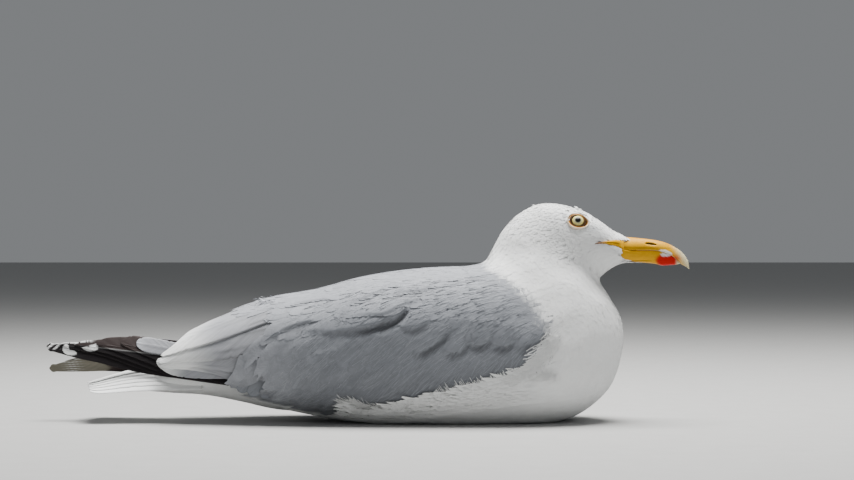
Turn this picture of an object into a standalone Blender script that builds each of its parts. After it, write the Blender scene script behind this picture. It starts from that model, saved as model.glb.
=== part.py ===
"""A resting herring gull, life size, as separate closed solids.

Units are metres, written as millimetres times MM. +X is the way the bill points, +Y is the bird's left,
+Z is up, and the floor is z = 0 under the middle of the bird's box.

The plumage outline is one surface, `plumage(t, phi)`. STATIONS holds cuts through the bird from the wing
coverts forward to the bill. A cut runs from a point on the back to a point on the belly, so it can lean and
fan round the folds of nape and throat. t counts the stations and phi goes round a cut, from 0 on the belly
over pi / 2 at the side to pi on the back. Mantle, scapulars, coverts and flank feathers are shells that
follow this surface, tertials are blades on it, and primaries and tail feathers are blades on surfaces of
their own.
"""

import math

import bmesh
import bpy
import numpy as np
from mathutils import Vector

MM = 0.001
GAP = 0.35 * MM
BORDER_GAP = 0.7 * MM
FLOOR = 0.0

# Cuts through the plumage: back x, back z, belly x, belly z, half width, height of the widest point as a
# share of the cut, and the power that makes the cut rounder (2) or squarer (3).
STATIONS = {
    "tertial tips": (-171, 57, -168, 35.5, 32, 0.45, 2.2),
    "rear tertials": (-147, 75, -136, 33.5, 42, 0.38, 2.2),
    "rump": (-112, 91, -104, 21, 50, 0.38, 2.2),
    "vent": (-78, 102, -70, 10, 58, 0.42, 2.2),
    "thigh": (-44, 107.5, -36, 3, 65.5, 0.46, 2.2),
    "loin": (-10, 117, 0, -3, 70, 0.48, 2.3),
    "belly": (25, 123, 36, -6, 73.5, 0.47, 2.3),
    "saddle": (58, 126, 72, -7, 75, 0.47, 2.3),
    "shoulder": (84, 127, 108, -6, 74.5, 0.47, 2.3),
    "nape fold": (94, 129.5, 143, -3, 72.5, 0.46, 2.3),
    "low breast": (97.5, 133, 173, 6, 68, 0.45, 2.2),
    "breast": (99.5, 136.5, 197, 27, 61.5, 0.45, 2.1),
    "full breast": (101, 139.5, 208, 58, 54, 0.46, 2.0),
    "high breast": (103, 143, 207, 84, 46.5, 0.47, 2.0),
    "low neck": (106, 149, 197, 102, 39.5, 0.48, 2.0),
    "throat fold": (110.5, 156.5, 189.5, 114.6, 34.5, 0.49, 2.0),
    "upper neck": (121.5, 168, 192.5, 119.5, 30.5, 0.50, 2.0),
    "back of crown": (138, 177, 197.5, 123.5, 28, 0.51, 2.1),
    "crown": (156, 177.5, 203, 127, 25.5, 0.54, 2.3),
    "eyes": (174, 172.2, 208, 128.7, 22, 0.56, 2.4),
    "forehead": (188.5, 164.5, 213, 129.3, 16.5, 0.52, 2.3),
    "lores": (200.5, 156, 219, 129.3, 11.8, 0.47, 2.1),
    "bill base": (213, 150.3, 226, 129.2, 8.2, 0.45, 2.0),
}
AROUND = 22

# Cuts that part the neck from the head and from the breast: two points of each in side view.
NECK_ABOVE = ((101, 147.5), (192, 112))
BREAST_BELOW = ((90, 131), (212, 90))
TRUNK_FRONT_X = 124 * MM
TRUNK_REAR_X = -58 * MM

# Folded wing, as heights on the side of the bird at each t: lower edge, and border with the scapulars. The
# grey ends in front along FRONT_T over the share of the height between those borders, and behind along
# REAR_T over the angle's share of a half turn.
WING_LOW_T = (1.8, 2.2, 3, 4, 5, 6, 6.5, 7, 8, 9, 9.7, 10.3)
WING_LOW_Z = (28, 22.5, 16, 8, 6, 10, 15, 22, 29, 36, 38, 44)
SCAPULAR_LOW_T = (2.6, 3, 4, 5, 6, 7, 8, 9, 10, 10.7)
SCAPULAR_LOW_Z = (74, 76, 76, 74, 66, 55, 56, 61, 66, 70)
COVERT_FRONT = ((0, 0.35, 0.7, 1), (9.65, 10.05, 10.4, 10.65))
SCAPULAR_FRONT = ((0, 0.3, 0.6, 0.85, 1), (10.65, 10.95, 10.7, 10.0, 9.2))
REAR_SHARE = (0.06, 0.22, 0.34, 0.46, 0.58, 0.72, 0.87, 1.0)
REAR_T = (2.2, 1.85, 1.95, 2.45, 2.95, 3.2, 3.35, 3.4)
MANTLE_HALF_ANGLE = 0.42
MANTLE_T = (3.44, 9.2)
SECONDARY_FRONT_T = (5.2, 3.9)
SHELL_DEPTH = 7 * MM
EDGE_DEPTH = 2.2 * MM
RIM_T = 0.5
RIM_ANGLE = 0.15
BORDER_T = 0.02
FRONT_ROOM_T = 0.3
POCKET_ROOM = 1.7 * MM

# White flank feathers that lap over the wing's lower edge.
FLANK_T = (4.3, 9.75)
FLANK_TOP_T = (4.3, 4.7, 5.2, 5.7, 6.1, 6.5, 7, 8, 9, 9.75)
FLANK_TOP_Z = (17, 18.5, 15.5, 13, 15.5, 20.5, 26, 32, 39, 38)
FLANK_LOW_T = (4.3, 4.7, 5.1, 5.6, 8.3, 9.1, 9.75)
FLANK_LOW_Z = (15, 9, 5, 3.2, 3.2, 8, 27)
FLANK_THICK = 2.4 * MM
FLANK_LIFT = 1.5 * MM

# Tertials from the lowest up: t of the tip, and the angle's share of a half turn at root and tip. Towards
# their tips they stay below a share, which leaves a slot over the primaries.
TERTIALS = (
    (0.50, 0.33, 0.33),
    (0.12, 0.44, 0.42),
    (0.00, 0.56, 0.54),
    (0.00, 0.70, 0.63),
    (0.10, 0.86, 0.74),
)
TERTIAL_CAP = ((0, 0.7, 1.3), (0.76, 0.82, 0.99))
TERTIAL_FLOOR_SHARE = 0.3
TERTIAL_HALF_WIDTH = 17 * MM
TERTIAL_ROOM_T = 0.11
BLADE_THICK = 0.6 * MM
LAYER = BLADE_THICK + 0.7 * MM

# Primaries of each wing from the longest down: x of the tips. Their line runs through points x, y, z on the
# right, and lower on the left. Each next one lies a layer further out and higher by PRIMARY_RISE.
PRIMARY_TIPS_X = (-263, -254, -240, -222, -202)
PRIMARY_LINE_X = (-112, -144, -171, -215, -263)
PRIMARY_LINE_Y = (29, 20.5, 15.5, 10.5, 6.5)
RIGHT_LINE_Z = (39.5, 45.5, 50, 56, 60.8)
LEFT_LINE_Z = (41, 46.5, 49, 48.5, 42)
PRIMARY_HALF_WIDTH = 13 * MM
PRIMARY_RISE = 1.7 * MM
PRIMARY_CAMBER_RADIUS = 90 * MM
PRIMARY_LEAN = math.radians(66)

# Tail, a low roof: ridge height along x, edge height, half width, and the feathers in each half.
TAIL_X = (-230, -193, -150, -134.5)
TAIL_RIDGE_Z = (31.5, 42, 45.5, 46.5)
TAIL_EDGE_Z = (28.3, 29, 29.5, 30)
TAIL_HALF_WIDTH = (37, 34, 27, 24)
TAIL_PAIRS = 6
COVERT_TIPS_X = (-168, -186)

# Rump: x, top z, bottom z, half width.
RUMP = {
    "under the wings": (-58, 96, 7.3, 50),
    "back": (-80, 92, 10.2, 36),
    "vent": (-104, 82, 16, 22),
    "tail root": (-134, 58, 22, 15),
}

# Bill in side view, front to back: culmen, mouth line and lower edge, with half widths.
BILL_X = (263, 260.8, 257, 252, 245.6, 239.3, 230, 221, 211, 200)
CULMEN_Z = (125.2, 133.6, 137.6, 141.3, 144.8, 147, 148.6, 149.6, 150.4, 150.6)
HOOK_Z = (124.2, 126.2, 130.4, 134.4, 137.3, 139.2, 139.8, 139.8, 140.3, 142.5)
BILL_HALF_WIDTH = (0.9, 2.1, 3.1, 4.0, 5.0, 5.8, 6.6, 7.3, 8.0, 8.3)
MANDIBLE_X = (256.0, 252.5, 247, 240.5, 235, 229, 221, 211, 200)
GONYS_Z = (129.8, 128.3, 127.4, 127.1, 128.5, 129.2, 129.7, 130.6, 131.8)
MANDIBLE_WIDTH_SHARE = 0.9
NOSTRIL = (231.5, 144.6)
NOSTRIL_SIZE = (4.8, 0.75)
NOSTRIL_DROP = 0.6

EYE_AT = (171.3, 163.6)
EYE_RADIUS = 7.6 * MM
EYE_BULGE = 2.0 * MM

HEEL_X = 2
ANKLE_X = 60
TOE_LENGTH = 52
LEG_Y = 17
TOE_SPREAD = 15
TARSUS_HEIGHT = 7.0
TARSUS_HALF_WIDTH = 3.4

COLOURS = {
    "white plumage": ((0.80, 0.81, 0.79), 0.85),
    "grey plumage": ((0.34, 0.36, 0.38), 0.80),
    "white tipped grey": ((0.60, 0.62, 0.64), 0.80),
    "black plumage": ((0.035, 0.030, 0.032), 0.60),
    "bill": ((0.80, 0.48, 0.06), 0.35),
    "eye": ((0.75, 0.72, 0.45), 0.08),
    "legs": ((0.72, 0.45, 0.42), 0.55),
}


def material(name):
    """The named Principled material, made on its first use."""
    found = bpy.data.materials.get(name)
    if found:
        return found
    colour, roughness = COLOURS[name]
    made = bpy.data.materials.new(name)
    made.use_nodes = True
    shader = made.node_tree.nodes["Principled BSDF"]
    shader.inputs["Base Color"].default_value = (*colour, 1.0)
    shader.inputs["Roughness"].default_value = roughness
    shader.inputs["Metallic"].default_value = 0.0
    return made


# ---- curves and grids ------------------------------------------------------------------------------------


def curve(knots, values, at):
    """A cubic through values at increasing knots. Each inner slope is the mean of the chords on its two
    sides, the nearer chord weighing more."""
    knots = np.asarray(knots, float)
    values = np.asarray(values, float)
    at = np.clip(np.asarray(at, float), knots[0], knots[-1])
    flat = values.reshape(len(knots), -1)
    gap = np.diff(knots)[:, None]
    chord = np.diff(flat, axis=0) / gap
    inner = (gap[1:] * chord[:-1] + gap[:-1] * chord[1:]) / (gap[1:] + gap[:-1])
    slope = np.vstack([chord[:1], inner, chord[-1:]])
    i = np.clip(np.searchsorted(knots, at, side="right") - 1, 0, len(knots) - 2)
    length = gap[i, 0]
    s = ((at - knots[i]) / length)[..., None]
    step = length[..., None]
    made = (
        flat[i] * (1 + 2 * s) * (1 - s) ** 2
        + slope[i] * step * s * (1 - s) ** 2
        + flat[i + 1] * s**2 * (3 - 2 * s)
        + slope[i + 1] * step * s**2 * (s - 1)
    )
    return made.reshape(at.shape + values.shape[1:])


def falling(knots, values, at):
    """curve() for knots that fall from first to last."""
    return curve(knots[::-1], values[::-1], at)


CUTS = np.array(list(STATIONS.values()), float)


def plumage(t, phi):
    """The point of the outline at station t and angle phi: from the widest point of the cut, back or belly
    half times |cos phi| to a power, and the half width times |sin phi| to the same power. Below the floor
    the plumage is pressed flat."""
    t, phi = np.broadcast_arrays(np.asarray(t, float), np.asarray(phi, float))
    cut = curve(np.arange(len(CUTS)), CUTS, t)
    back = cut[..., 0:2]
    belly = cut[..., 2:4]
    share = cut[..., 5:6]
    power = 2 / cut[..., 6]
    across = np.cos(phi)
    reach = np.sign(across) * np.abs(across) ** power
    side = np.sign(np.sin(phi)) * np.abs(np.sin(phi)) ** power
    middle = belly + (back - belly) * share
    towards = np.where(reach[..., None] > 0, belly - middle, back - middle)
    at = middle + towards * np.abs(reach)[..., None]
    y = -cut[..., 4] * side
    z = np.maximum(at[..., 1], FLOOR)
    return np.stack([at[..., 0], y, z], -1) * MM


def outward(t, phi, step=0.02):
    """The unit normal of the outline, from two short steps along the surface."""
    along = plumage(t + step, phi) - plumage(t - step, phi)
    round_it = plumage(t, phi + step) - plumage(t, phi - step)
    normal = np.cross(along, round_it)
    return normal / np.maximum(np.linalg.norm(normal, axis=-1, keepdims=True), 1e-12)


def sunk(t, phi, depth):
    """The outline moved inwards by depth."""
    return plumage(t, phi) - outward(t, phi) * np.asarray(depth)[..., None]


def angle_at_height(t, z):
    """The phi at which the side of cut t reaches height z, read off the cut itself."""
    angles = np.linspace(0.02, math.pi - 0.02, 200)
    t, z = np.broadcast_arrays(np.atleast_1d(t).astype(float), np.atleast_1d(z))
    heights = plumage(t[..., None], angles)[..., 2] / MM
    found = [np.interp(a, h, angles) for a, h in zip(z.ravel(), heights.reshape(-1, len(angles)))]
    return np.array(found).reshape(t.shape)


def grid_faces(rows, columns, first=0, closed=False):
    """Quads of a grid whose vertices run row by row."""
    last = columns if closed else columns - 1
    faces = []
    for r in range(rows - 1):
        for c in range(last):
            near, far = c, (c + 1) % columns
            low, high = first + r * columns, first + (r + 1) * columns
            faces.append((low + near, low + far, high + far, high + near))
    return faces


def face_outwards(shape):
    """Turns the faces of a closed bmesh outwards, judged by the sign of its volume."""
    bmesh.ops.recalc_face_normals(shape, faces=shape.faces)
    if shape.calc_volume(signed=True) < 0:
        bmesh.ops.reverse_faces(shape, faces=shape.faces)


def put_mesh(name, vertices, faces, finish):
    """One object from vertices and faces, welded and with its faces pointing out."""
    mesh = bpy.data.meshes.new(name)
    mesh.from_pydata([tuple(v) for v in vertices], [], faces)
    shape = bmesh.new()
    shape.from_mesh(mesh)
    bmesh.ops.remove_doubles(shape, verts=shape.verts, dist=0.01 * MM)
    face_outwards(shape)
    shape.to_mesh(mesh)
    shape.free()
    mesh.materials.append(material(finish))
    mesh.shade_smooth()
    mesh.set_sharp_from_angle(angle=math.radians(50))
    made = bpy.data.objects.new(name, mesh)
    bpy.context.scene.collection.objects.link(made)
    return made


def shell(name, outer, inner, finish):
    """A closed solid between two grids of the same size, walled along their edges."""
    rows, columns = outer.shape[:2]
    count = rows * columns
    faces = grid_faces(rows, columns) + grid_faces(rows, columns, count)
    rim = [r * columns for r in range(rows)]
    rim += [(rows - 1) * columns + c for c in range(1, columns)]
    rim += [r * columns + columns - 1 for r in range(rows - 2, -1, -1)]
    rim += list(range(columns - 2, 0, -1))
    for i, here in enumerate(rim):
        there = rim[(i + 1) % len(rim)]
        faces.append((here, there, there + count, here + count))
    return put_mesh(name, np.vstack([outer.reshape(-1, 3), inner.reshape(-1, 3)]), faces, finish)


def tube(name, rings, finish):
    """A closed solid through rings of points, with a face over each end."""
    rows, columns = rings.shape[:2]
    faces = grid_faces(rows, columns, closed=True)
    faces += [tuple(range(columns)), tuple((rows - 1) * columns + c for c in range(columns))]
    return put_mesh(name, rings.reshape(-1, 3), faces, finish)


# ---- shells on the plumage -------------------------------------------------------------------------------


def wing_low(t):
    """Angle of the wing's lower edge."""
    return angle_at_height(t, curve(WING_LOW_T, WING_LOW_Z, t))


def mantle_edge(t):
    """Angle of the border between mantle and scapulars."""
    return math.pi - MANTLE_HALF_ANGLE + 0 * t


def scapular_low(t):
    """Angle of the border between scapulars and the wing below them."""
    return angle_at_height(t, curve(SCAPULAR_LOW_T, SCAPULAR_LOW_Z, t))


def rear_edge(phi):
    """The t where the grey shells end over the tertials and primaries."""
    return curve(REAR_SHARE, REAR_T, np.abs(phi) / math.pi)


def shell_depths(t, ends, phi, borders):
    """How deep a grey shell goes: thin at its rim, thicker inwards as the root of the way from the rim."""
    along = np.minimum(t - ends[0], ends[1] - t) / RIM_T
    across = np.minimum(phi - borders[0], borders[1] - phi) / RIM_ANGLE
    return EDGE_DEPTH + (SHELL_DEPTH - EDGE_DEPTH) * np.sqrt(np.minimum(along, across).clip(0, 1))


def patch(name, ends, low, high, size, side=1, pocket=False):
    """A grey shell. ends(b) gives the t of its rear and front at b, which runs from 0 at the low border to
    1 at the high one. A pocket is the cutter that makes its room: larger all round, and standing out of
    the surface."""
    b = np.linspace(0, 1, size[1])[None, :]
    a = np.linspace(0, 1, size[0])[:, None]
    rear, front = ends(b)
    rear = rear + (-BORDER_T if pocket else BORDER_T) / 2
    front = front + (FRONT_ROOM_T if pocket else -BORDER_T) / 2
    t = rear + (front - rear) * a
    inset = (-3 * GAP if pocket else BORDER_GAP / 2) / (60 * MM)
    bottom, top = low(t) + inset, high(t) - inset
    phi = bottom + (top - bottom) * b
    depth = shell_depths(t, (rear, front), phi, (bottom, top))
    outer = sunk(t, phi * side, np.full(t.shape, -4 * MM if pocket else GAP))
    inner = sunk(t, phi * side, depth + POCKET_ROOM * pocket)
    return shell(name, outer, inner, "grey plumage")


def mantle(name, pocket=False):
    """The saddle of grey feathers between the wings, over the ridge of the back."""

    def ends(b):
        return MANTLE_T[0] + 0 * b, MANTLE_T[1] + 0 * b

    def low(t):
        return math.pi - MANTLE_HALF_ANGLE + 0 * t

    def high(t):
        return math.pi + MANTLE_HALF_ANGLE + 0 * t

    return patch(name, ends, low, high, (9, 6), 1, pocket)


def scapulars(name, side, pocket=False):
    """The long shoulder feathers between mantle and wing."""

    def ends(b):
        rear = rear_edge(scapular_low(3.2) + (mantle_edge(3.2) - scapular_low(3.2)) * b)
        return rear, curve(*SCAPULAR_FRONT, b)

    return patch(name, ends, scapular_low, mantle_edge, (11, 5), side, pocket)


def covert_split(b):
    """The t where the wing coverts end and the secondaries begin."""
    return np.interp(b, (0, 1), SECONDARY_FRONT_T)


def wing_rear(b):
    """The t of the wing's rear edge at height share b."""
    return rear_edge(wing_low(2.4) + (scapular_low(2.4) - wing_low(2.4)) * b)


def wing_coverts(name, side):
    """The front of the folded wing, up to its bend."""

    def ends(b):
        return covert_split(b), curve(*COVERT_FRONT, b)

    return patch(name, ends, wing_low, scapular_low, (10, 5), side)


def secondaries(name, side):
    """The rear of the folded wing below the scapulars and tertials."""

    def ends(b):
        return wing_rear(b), covert_split(b)

    return patch(name, ends, wing_low, scapular_low, (7, 5), side)


def wing_pocket(name, side):
    """The cutter for the room that wing coverts and secondaries share."""

    def ends(b):
        return wing_rear(b), curve(*COVERT_FRONT, b)

    return patch(name, ends, wing_low, scapular_low, (16, 5), side, True)


def flank(name, side):
    """White feathers that lie over the wing's lower edge, thick in the middle and thin at the rim."""
    a = np.linspace(0, 1, 11)[:, None]
    b = np.linspace(0, 1, 5)[None, :]
    t = FLANK_T[0] + (FLANK_T[1] - FLANK_T[0]) * a + 0 * b
    low = angle_at_height(t, curve(FLANK_LOW_T, FLANK_LOW_Z, t))
    high = angle_at_height(t, curve(FLANK_TOP_T, FLANK_TOP_Z, t))
    phi = low + (high - low) * b
    bulge = np.sqrt((4 * a * (1 - a)).clip(0, 1)) * (4 * b * (1 - b)).clip(0, 1)
    thick = BLADE_THICK + (FLANK_THICK - BLADE_THICK) * bulge
    outer = sunk(t, phi * side, -FLANK_LIFT - thick)
    inner = sunk(t, phi * side, 0 * thick - FLANK_LIFT)
    outer[..., 2] = np.maximum(outer[..., 2], 1.0 * MM)
    inner[..., 2] = np.maximum(inner[..., 2], 0.5 * MM)
    return shell(name, outer, inner, "white plumage")


# ---- blades ----------------------------------------------------------------------------------------------


def vane(s, root, rounding):
    """Half width of a feather as a share: root at s = 0, full after a third, and rounded off over the last
    part, which is rounding long."""
    start = root + (1 - root) * np.minimum(s / 0.35, 1) ** 0.8
    tip = np.sqrt(1 - (np.maximum(s - 1 + rounding, 0) / rounding) ** 2.4)
    return start * np.maximum(tip, 0.12)


def blade(name, surface, finish, rows, columns):
    """A thin feather. surface(s, u, depth) gives the point at length share s, width share u from -1 to 1."""
    s = np.linspace(0, 1, rows)[:, None] ** 0.8
    u = np.linspace(-1, 1, columns)[None, :]
    return shell(name, surface(s, u, 0.0), surface(s, u, BLADE_THICK), finish)


def tertial(name, side, order):
    """A tertial lying on the outline behind the grey shells. The topmost is the outermost layer."""
    tip_t, root_share, tip_share = TERTIALS[order]
    layer = (len(TERTIALS) - 1 - order) * LAYER

    def surface(s, u, depth):
        def angle(t, s):
            radius = np.interp(t, (0, 1, 2, 3), (30, 36, 42, 50)) * MM
            spread = u * TERTIAL_HALF_WIDTH * vane(s, 0.85, 0.45) / radius
            free = (root_share + (tip_share - root_share) * s) * math.pi + spread
            return free.clip(TERTIAL_FLOOR_SHARE * math.pi, curve(*TERTIAL_CAP, t) * math.pi)

        root_t = rear_edge(angle(np.full(u.shape, 3.0), 0 * u)) - TERTIAL_ROOM_T
        t = root_t + (tip_t - root_t) * s
        return sunk(t, angle(t, s) * side, layer + depth + GAP + 0 * t)

    return blade(name, surface, "white tipped grey", 7, 5)


def primary(name, side, order):
    """A primary: a steep blade along the wing point's line, leaning in at its top and drawn in over its
    outer three quarters to a narrow tip. The longest is the innermost layer and the lowest."""
    line = np.stack([PRIMARY_LINE_X, PRIMARY_LINE_Y, RIGHT_LINE_Z if side > 0 else LEFT_LINE_Z], -1)
    up = np.array([0, -math.cos(PRIMARY_LEAN), math.sin(PRIMARY_LEAN)])
    out = np.array([0, math.sin(PRIMARY_LEAN), math.cos(PRIMARY_LEAN)])

    def surface(s, u, depth):
        x = PRIMARY_LINE_X[0] + (PRIMARY_TIPS_X[order] - PRIMARY_LINE_X[0]) * s + 0 * u
        middle = curve(-line[:, 0], line, -x) * MM
        narrow = (1 - (np.maximum(s - 0.25, 0) / 0.75) ** 1.6).clip(0, 1) ** 0.7
        half = PRIMARY_HALF_WIDTH * (0.75 + 0.25 * np.minimum(s * 3, 1)) * np.maximum(narrow, 0.14)
        rise = order * PRIMARY_RISE * np.minimum(s * 2, 1) + u * half
        layer = order * LAYER + BLADE_THICK - depth - rise**2 / (2 * PRIMARY_CAMBER_RADIUS)
        at = middle + up * rise[..., None] + out * layer[..., None]
        return at * (1, -side, 1)

    return blade(name, surface, "black plumage", 6, 3)


def tail_roof(x, y, depth):
    """A point on the tail: the ridge height less a drop that grows with the square of y."""
    place = x / MM
    ridge = curve(TAIL_X, TAIL_RIDGE_Z, place)
    edge = curve(TAIL_X, TAIL_EDGE_Z, place)
    half = curve(TAIL_X, TAIL_HALF_WIDTH, place)
    drop = (ridge - edge) * (y / MM / half) ** 2
    return np.stack([x, y, (ridge - drop) * MM - depth], -1)


def tail_feather(name, side, order):
    """One of the tail feathers of a half, the middle one topmost and each next one a layer lower."""
    layer = (order + 1 if order or side < 0 else 0) * LAYER
    inner_edge = np.interp(order, (0, 1, TAIL_PAIRS - 1), (-7, 1, 14))
    outer_edge = np.interp(order, (0, TAIL_PAIRS - 1), (15, 37))
    reach = TAIL_X[0] + 0.9 * order

    def surface(s, u, depth):
        x = (TAIL_X[-1] + (reach - TAIL_X[-1]) * s + 0 * u) * MM
        narrow = 0.62 + 0.38 * s
        middle, half = (inner_edge + outer_edge) / 2, (outer_edge - inner_edge) / 2
        round_off = np.sqrt(1 - (np.maximum(s - 0.88, 0) / 0.12) ** 2 * 0.96)
        y = (middle + half * round_off * u) * narrow * MM
        return tail_roof(x, -side * y, layer + depth + 0 * y)

    return blade(name, surface, "white plumage", 5, 4)


def tail_coverts(name, tip_x, above):
    """The short feathers over or under the tail root: a wedge against the tail that thins to its tip."""
    a = np.linspace(0, 1, 5)[:, None]
    b = np.linspace(-1, 1, 7)[None, :]
    x = (TAIL_X[-1] + (tip_x - TAIL_X[-1]) * a + 0 * b) * MM
    half = (20 + 3 * a) * np.sqrt(1 - a**3 * 0.9)
    y = half * b * MM
    swell = (1 - a) ** 0.8 * (1 - b**2)
    if above:
        near = tail_roof(x, y, -3 * GAP)
        far = near + (0, 0, 1) * (0.7 * MM + 6.5 * MM * swell)[..., None]
    else:
        near = tail_roof(x, y, (TAIL_PAIRS + 1) * LAYER + GAP)
        far = near - (0, 0, 1) * (0.7 * MM + 9 * MM * swell)[..., None]
    return shell(name, near, far, "white plumage")


# ---- body, bill, eyes and legs ---------------------------------------------------------------------------


def whole_body():
    """The plumage as one closed solid, from behind the wings' middle to the bill."""
    t = np.concatenate([np.linspace(3, 8, 7), np.linspace(8.75, 15, 11), np.linspace(15.6, 22, 11)])[:, None]
    phi = np.linspace(0, 2 * math.pi, AROUND, endpoint=False)[None, :]
    return tube("body", plumage(t, phi), "white plumage")


def rump():
    """Rump and vent under the folded wings: ellipses along x that narrow towards the tail."""
    table = np.array(list(RUMP.values()), float)
    x = np.linspace((TRUNK_REAR_X - GAP) / MM, table[-1, 0], 6)
    cut = curve(-table[:, 0], table[:, 1:], -x)
    phi = np.linspace(0, 2 * math.pi, 16, endpoint=False)[None, :]
    middle = (cut[:, 0] + cut[:, 1])[:, None] / 2
    half = (cut[:, 0] - cut[:, 1])[:, None] / 2
    y = -cut[:, 2][:, None] * np.sin(phi)
    z = middle - half * np.cos(phi)
    return tube("rump", np.stack([x[:, None] + 0 * y, y, z], -1) * MM, "white plumage")


def upper_bill(name, grow=0.0):
    """Culmen to mouth line, with the hook: half ellipses that stand on the mouth line."""
    x = np.concatenate([[263.0, 262.3], np.linspace(260.8, 200, 12)])
    top = falling(BILL_X, CULMEN_Z, x) + grow / MM
    low = falling(BILL_X, HOOK_Z, x) + GAP / MM / 2 - grow / MM
    half = falling(BILL_X, BILL_HALF_WIDTH, x) + grow / MM
    angle = np.linspace(0, math.pi, 9)[None, :]
    y = half[:, None] * np.cos(angle) ** 3 * 0.35 + half[:, None] * np.cos(angle) * 0.65
    z = low[:, None] + (top - low)[:, None] * np.sin(angle) ** 0.8
    rings = np.stack([x[:, None] + 0 * y - (grow / MM) * (x[:, None] < 201), y, z], -1) * MM
    return tube(name, rings, "bill")


def lower_bill(name, grow=0.0):
    """Mouth line to gonys: half ellipses that hang from the mouth line."""
    x = np.linspace(MANDIBLE_X[0], MANDIBLE_X[-1], 11)
    top = falling(BILL_X, HOOK_Z, x) - GAP / MM / 2 + grow / MM
    low = falling(MANDIBLE_X, GONYS_Z, x) - grow / MM
    top = np.maximum(top, low + 0.6)
    half = falling(BILL_X, BILL_HALF_WIDTH, x) * MANDIBLE_WIDTH_SHARE
    half = np.minimum(half, 1.0 + (MANDIBLE_X[0] - x) * 0.45) + grow / MM
    angle = np.linspace(0, math.pi, 9)[None, :]
    y = half[:, None] * np.cos(angle)
    z = top[:, None] - (top - low)[:, None] * np.sin(angle) ** 0.8
    rings = np.stack([x[:, None] + 0 * y - (grow / MM) * (x[:, None] < 201), y, z], -1) * MM
    return tube(name, rings, "bill")


def eye_centre(side):
    """The centre of the eyeball, straight under the plumage at the eye's place in side view."""
    t = np.linspace(17, 21, 161)[:, None]
    phi = np.linspace(0.2, math.pi - 0.2, 161)[None, :]
    points = plumage(t, phi)
    aside = np.hypot(points[..., 0] - EYE_AT[0] * MM, points[..., 2] - EYE_AT[1] * MM)
    row, column = np.unravel_index(aside.argmin(), aside.shape)
    at = sunk(t[row, 0], phi[0, column], EYE_RADIUS - EYE_BULGE)
    return Vector((at[0], at[1] * side, at[2]))


def eyeball(name, side, grow=0.0):
    shape = bmesh.new()
    bmesh.ops.create_uvsphere(shape, u_segments=14, v_segments=8, radius=EYE_RADIUS + grow)
    turn = Vector((0, -side, 0)).to_track_quat("Z", "X").to_matrix()
    bmesh.ops.rotate(shape, verts=shape.verts, matrix=turn)
    bmesh.ops.translate(shape, verts=shape.verts, vec=eye_centre(side))
    mesh = bpy.data.meshes.new(name)
    shape.to_mesh(mesh)
    shape.free()
    mesh.materials.append(material("eye"))
    mesh.shade_smooth()
    made = bpy.data.objects.new(name, mesh)
    bpy.context.scene.collection.objects.link(made)
    return made


def nostril_cutter():
    """A slot right through the upper bill, as a gull's nostrils are."""
    shape = bmesh.new()
    bmesh.ops.create_cone(
        shape, cap_ends=True, segments=12, radius1=1 * MM, radius2=1 * MM, depth=30 * MM
    )
    for v in shape.verts:
        along, up, across = v.co
        x = NOSTRIL[0] * MM + along * NOSTRIL_SIZE[0]
        z = NOSTRIL[1] * MM + up * NOSTRIL_SIZE[1] - along * NOSTRIL_DROP
        v.co = Vector((x, across, z))
    mesh = bpy.data.meshes.new("nostril cutter")
    shape.to_mesh(mesh)
    shape.free()
    made = bpy.data.objects.new("nostril cutter", mesh)
    bpy.context.scene.collection.objects.link(made)
    return made


def tarsus(name, side, grow=0.0):
    """The lower leg, lying on the floor under the belly: a flattened tube with a thicker heel."""
    x = np.linspace(HEEL_X, ANKLE_X - 0.6, 7)
    ends = np.sqrt(1 - ((x - x.mean()) / (x.mean() - x[0] + 1.5)) ** 8)
    heel = 1 + 0.35 * np.exp(-(((x - HEEL_X - 5) / 6) ** 2))
    half = TARSUS_HALF_WIDTH * ends * heel + grow / MM
    high = TARSUS_HEIGHT * ends * heel / 2
    angle = np.linspace(0, 2 * math.pi, 10, endpoint=False)[None, :]
    y = side * -LEG_Y + half[:, None] * np.cos(angle)
    z = np.maximum(high[:, None] + (high[:, None] + grow / MM) * np.sin(angle), -5.0 if grow else 0.0)
    x = x[:, None] + 0 * y + (grow / MM) * 2 * np.sign(x[:, None] - x.mean())
    return tube(name, np.stack([x, y, z], -1) * MM, "legs")


def webbed_foot(name, side, grow=0.0):
    """Three toes and the webs between them as one sheet: ridges at the toes, a scalloped front edge."""
    room = 4 * grow / MM
    a = np.linspace(0, 1, 5)[:, None]
    b = np.linspace(-1, 1, 9)[None, :]
    toe = np.cos(math.pi * b) ** 2
    reach = TOE_LENGTH * (1 - 0.16 * np.abs(b)) * (1 - 0.13 * (1 - toe) * a**3) + room
    spread = 3.0 + (TOE_SPREAD - 3.0) * a**0.9 + room / 2
    x = ANKLE_X + reach * a - (grow / MM) * (1 - a)
    y = side * -LEG_Y + spread * b
    ridge = toe**3 if grow == 0 else 0 * toe + 1
    top = 1.1 + 3.4 * (1 - 0.6 * a) * ridge + 1.2 * (1 - a) + room
    upper = np.stack([x, y, top], -1) * MM
    lower = np.stack([x, y, 0 * top - (5 if grow else 0)], -1) * MM
    return shell(name, upper, lower, "legs")


# ---- parting ---------------------------------------------------------------------------------------------


def hide(cutter):
    cutter.hide_render = True
    cutter.display_type = "WIRE"


def carve(target, cutters):
    """Takes the cutters out of the target, one Boolean each, and keeps the result as its mesh."""
    for cutter in cutters:
        hide(cutter)
        cut = target.modifiers.new(cutter.name, "BOOLEAN")
        cut.operation = "DIFFERENCE"
        cut.solver = "EXACT"
        cut.object = cutter
    bpy.context.view_layer.update()
    graph = bpy.context.evaluated_depsgraph_get()
    carved = bpy.data.meshes.new_from_object(target.evaluated_get(graph), depsgraph=graph)
    target.modifiers.clear()
    target.data = carved
    for cutter in cutters:
        bpy.data.objects.remove(cutter)


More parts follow.
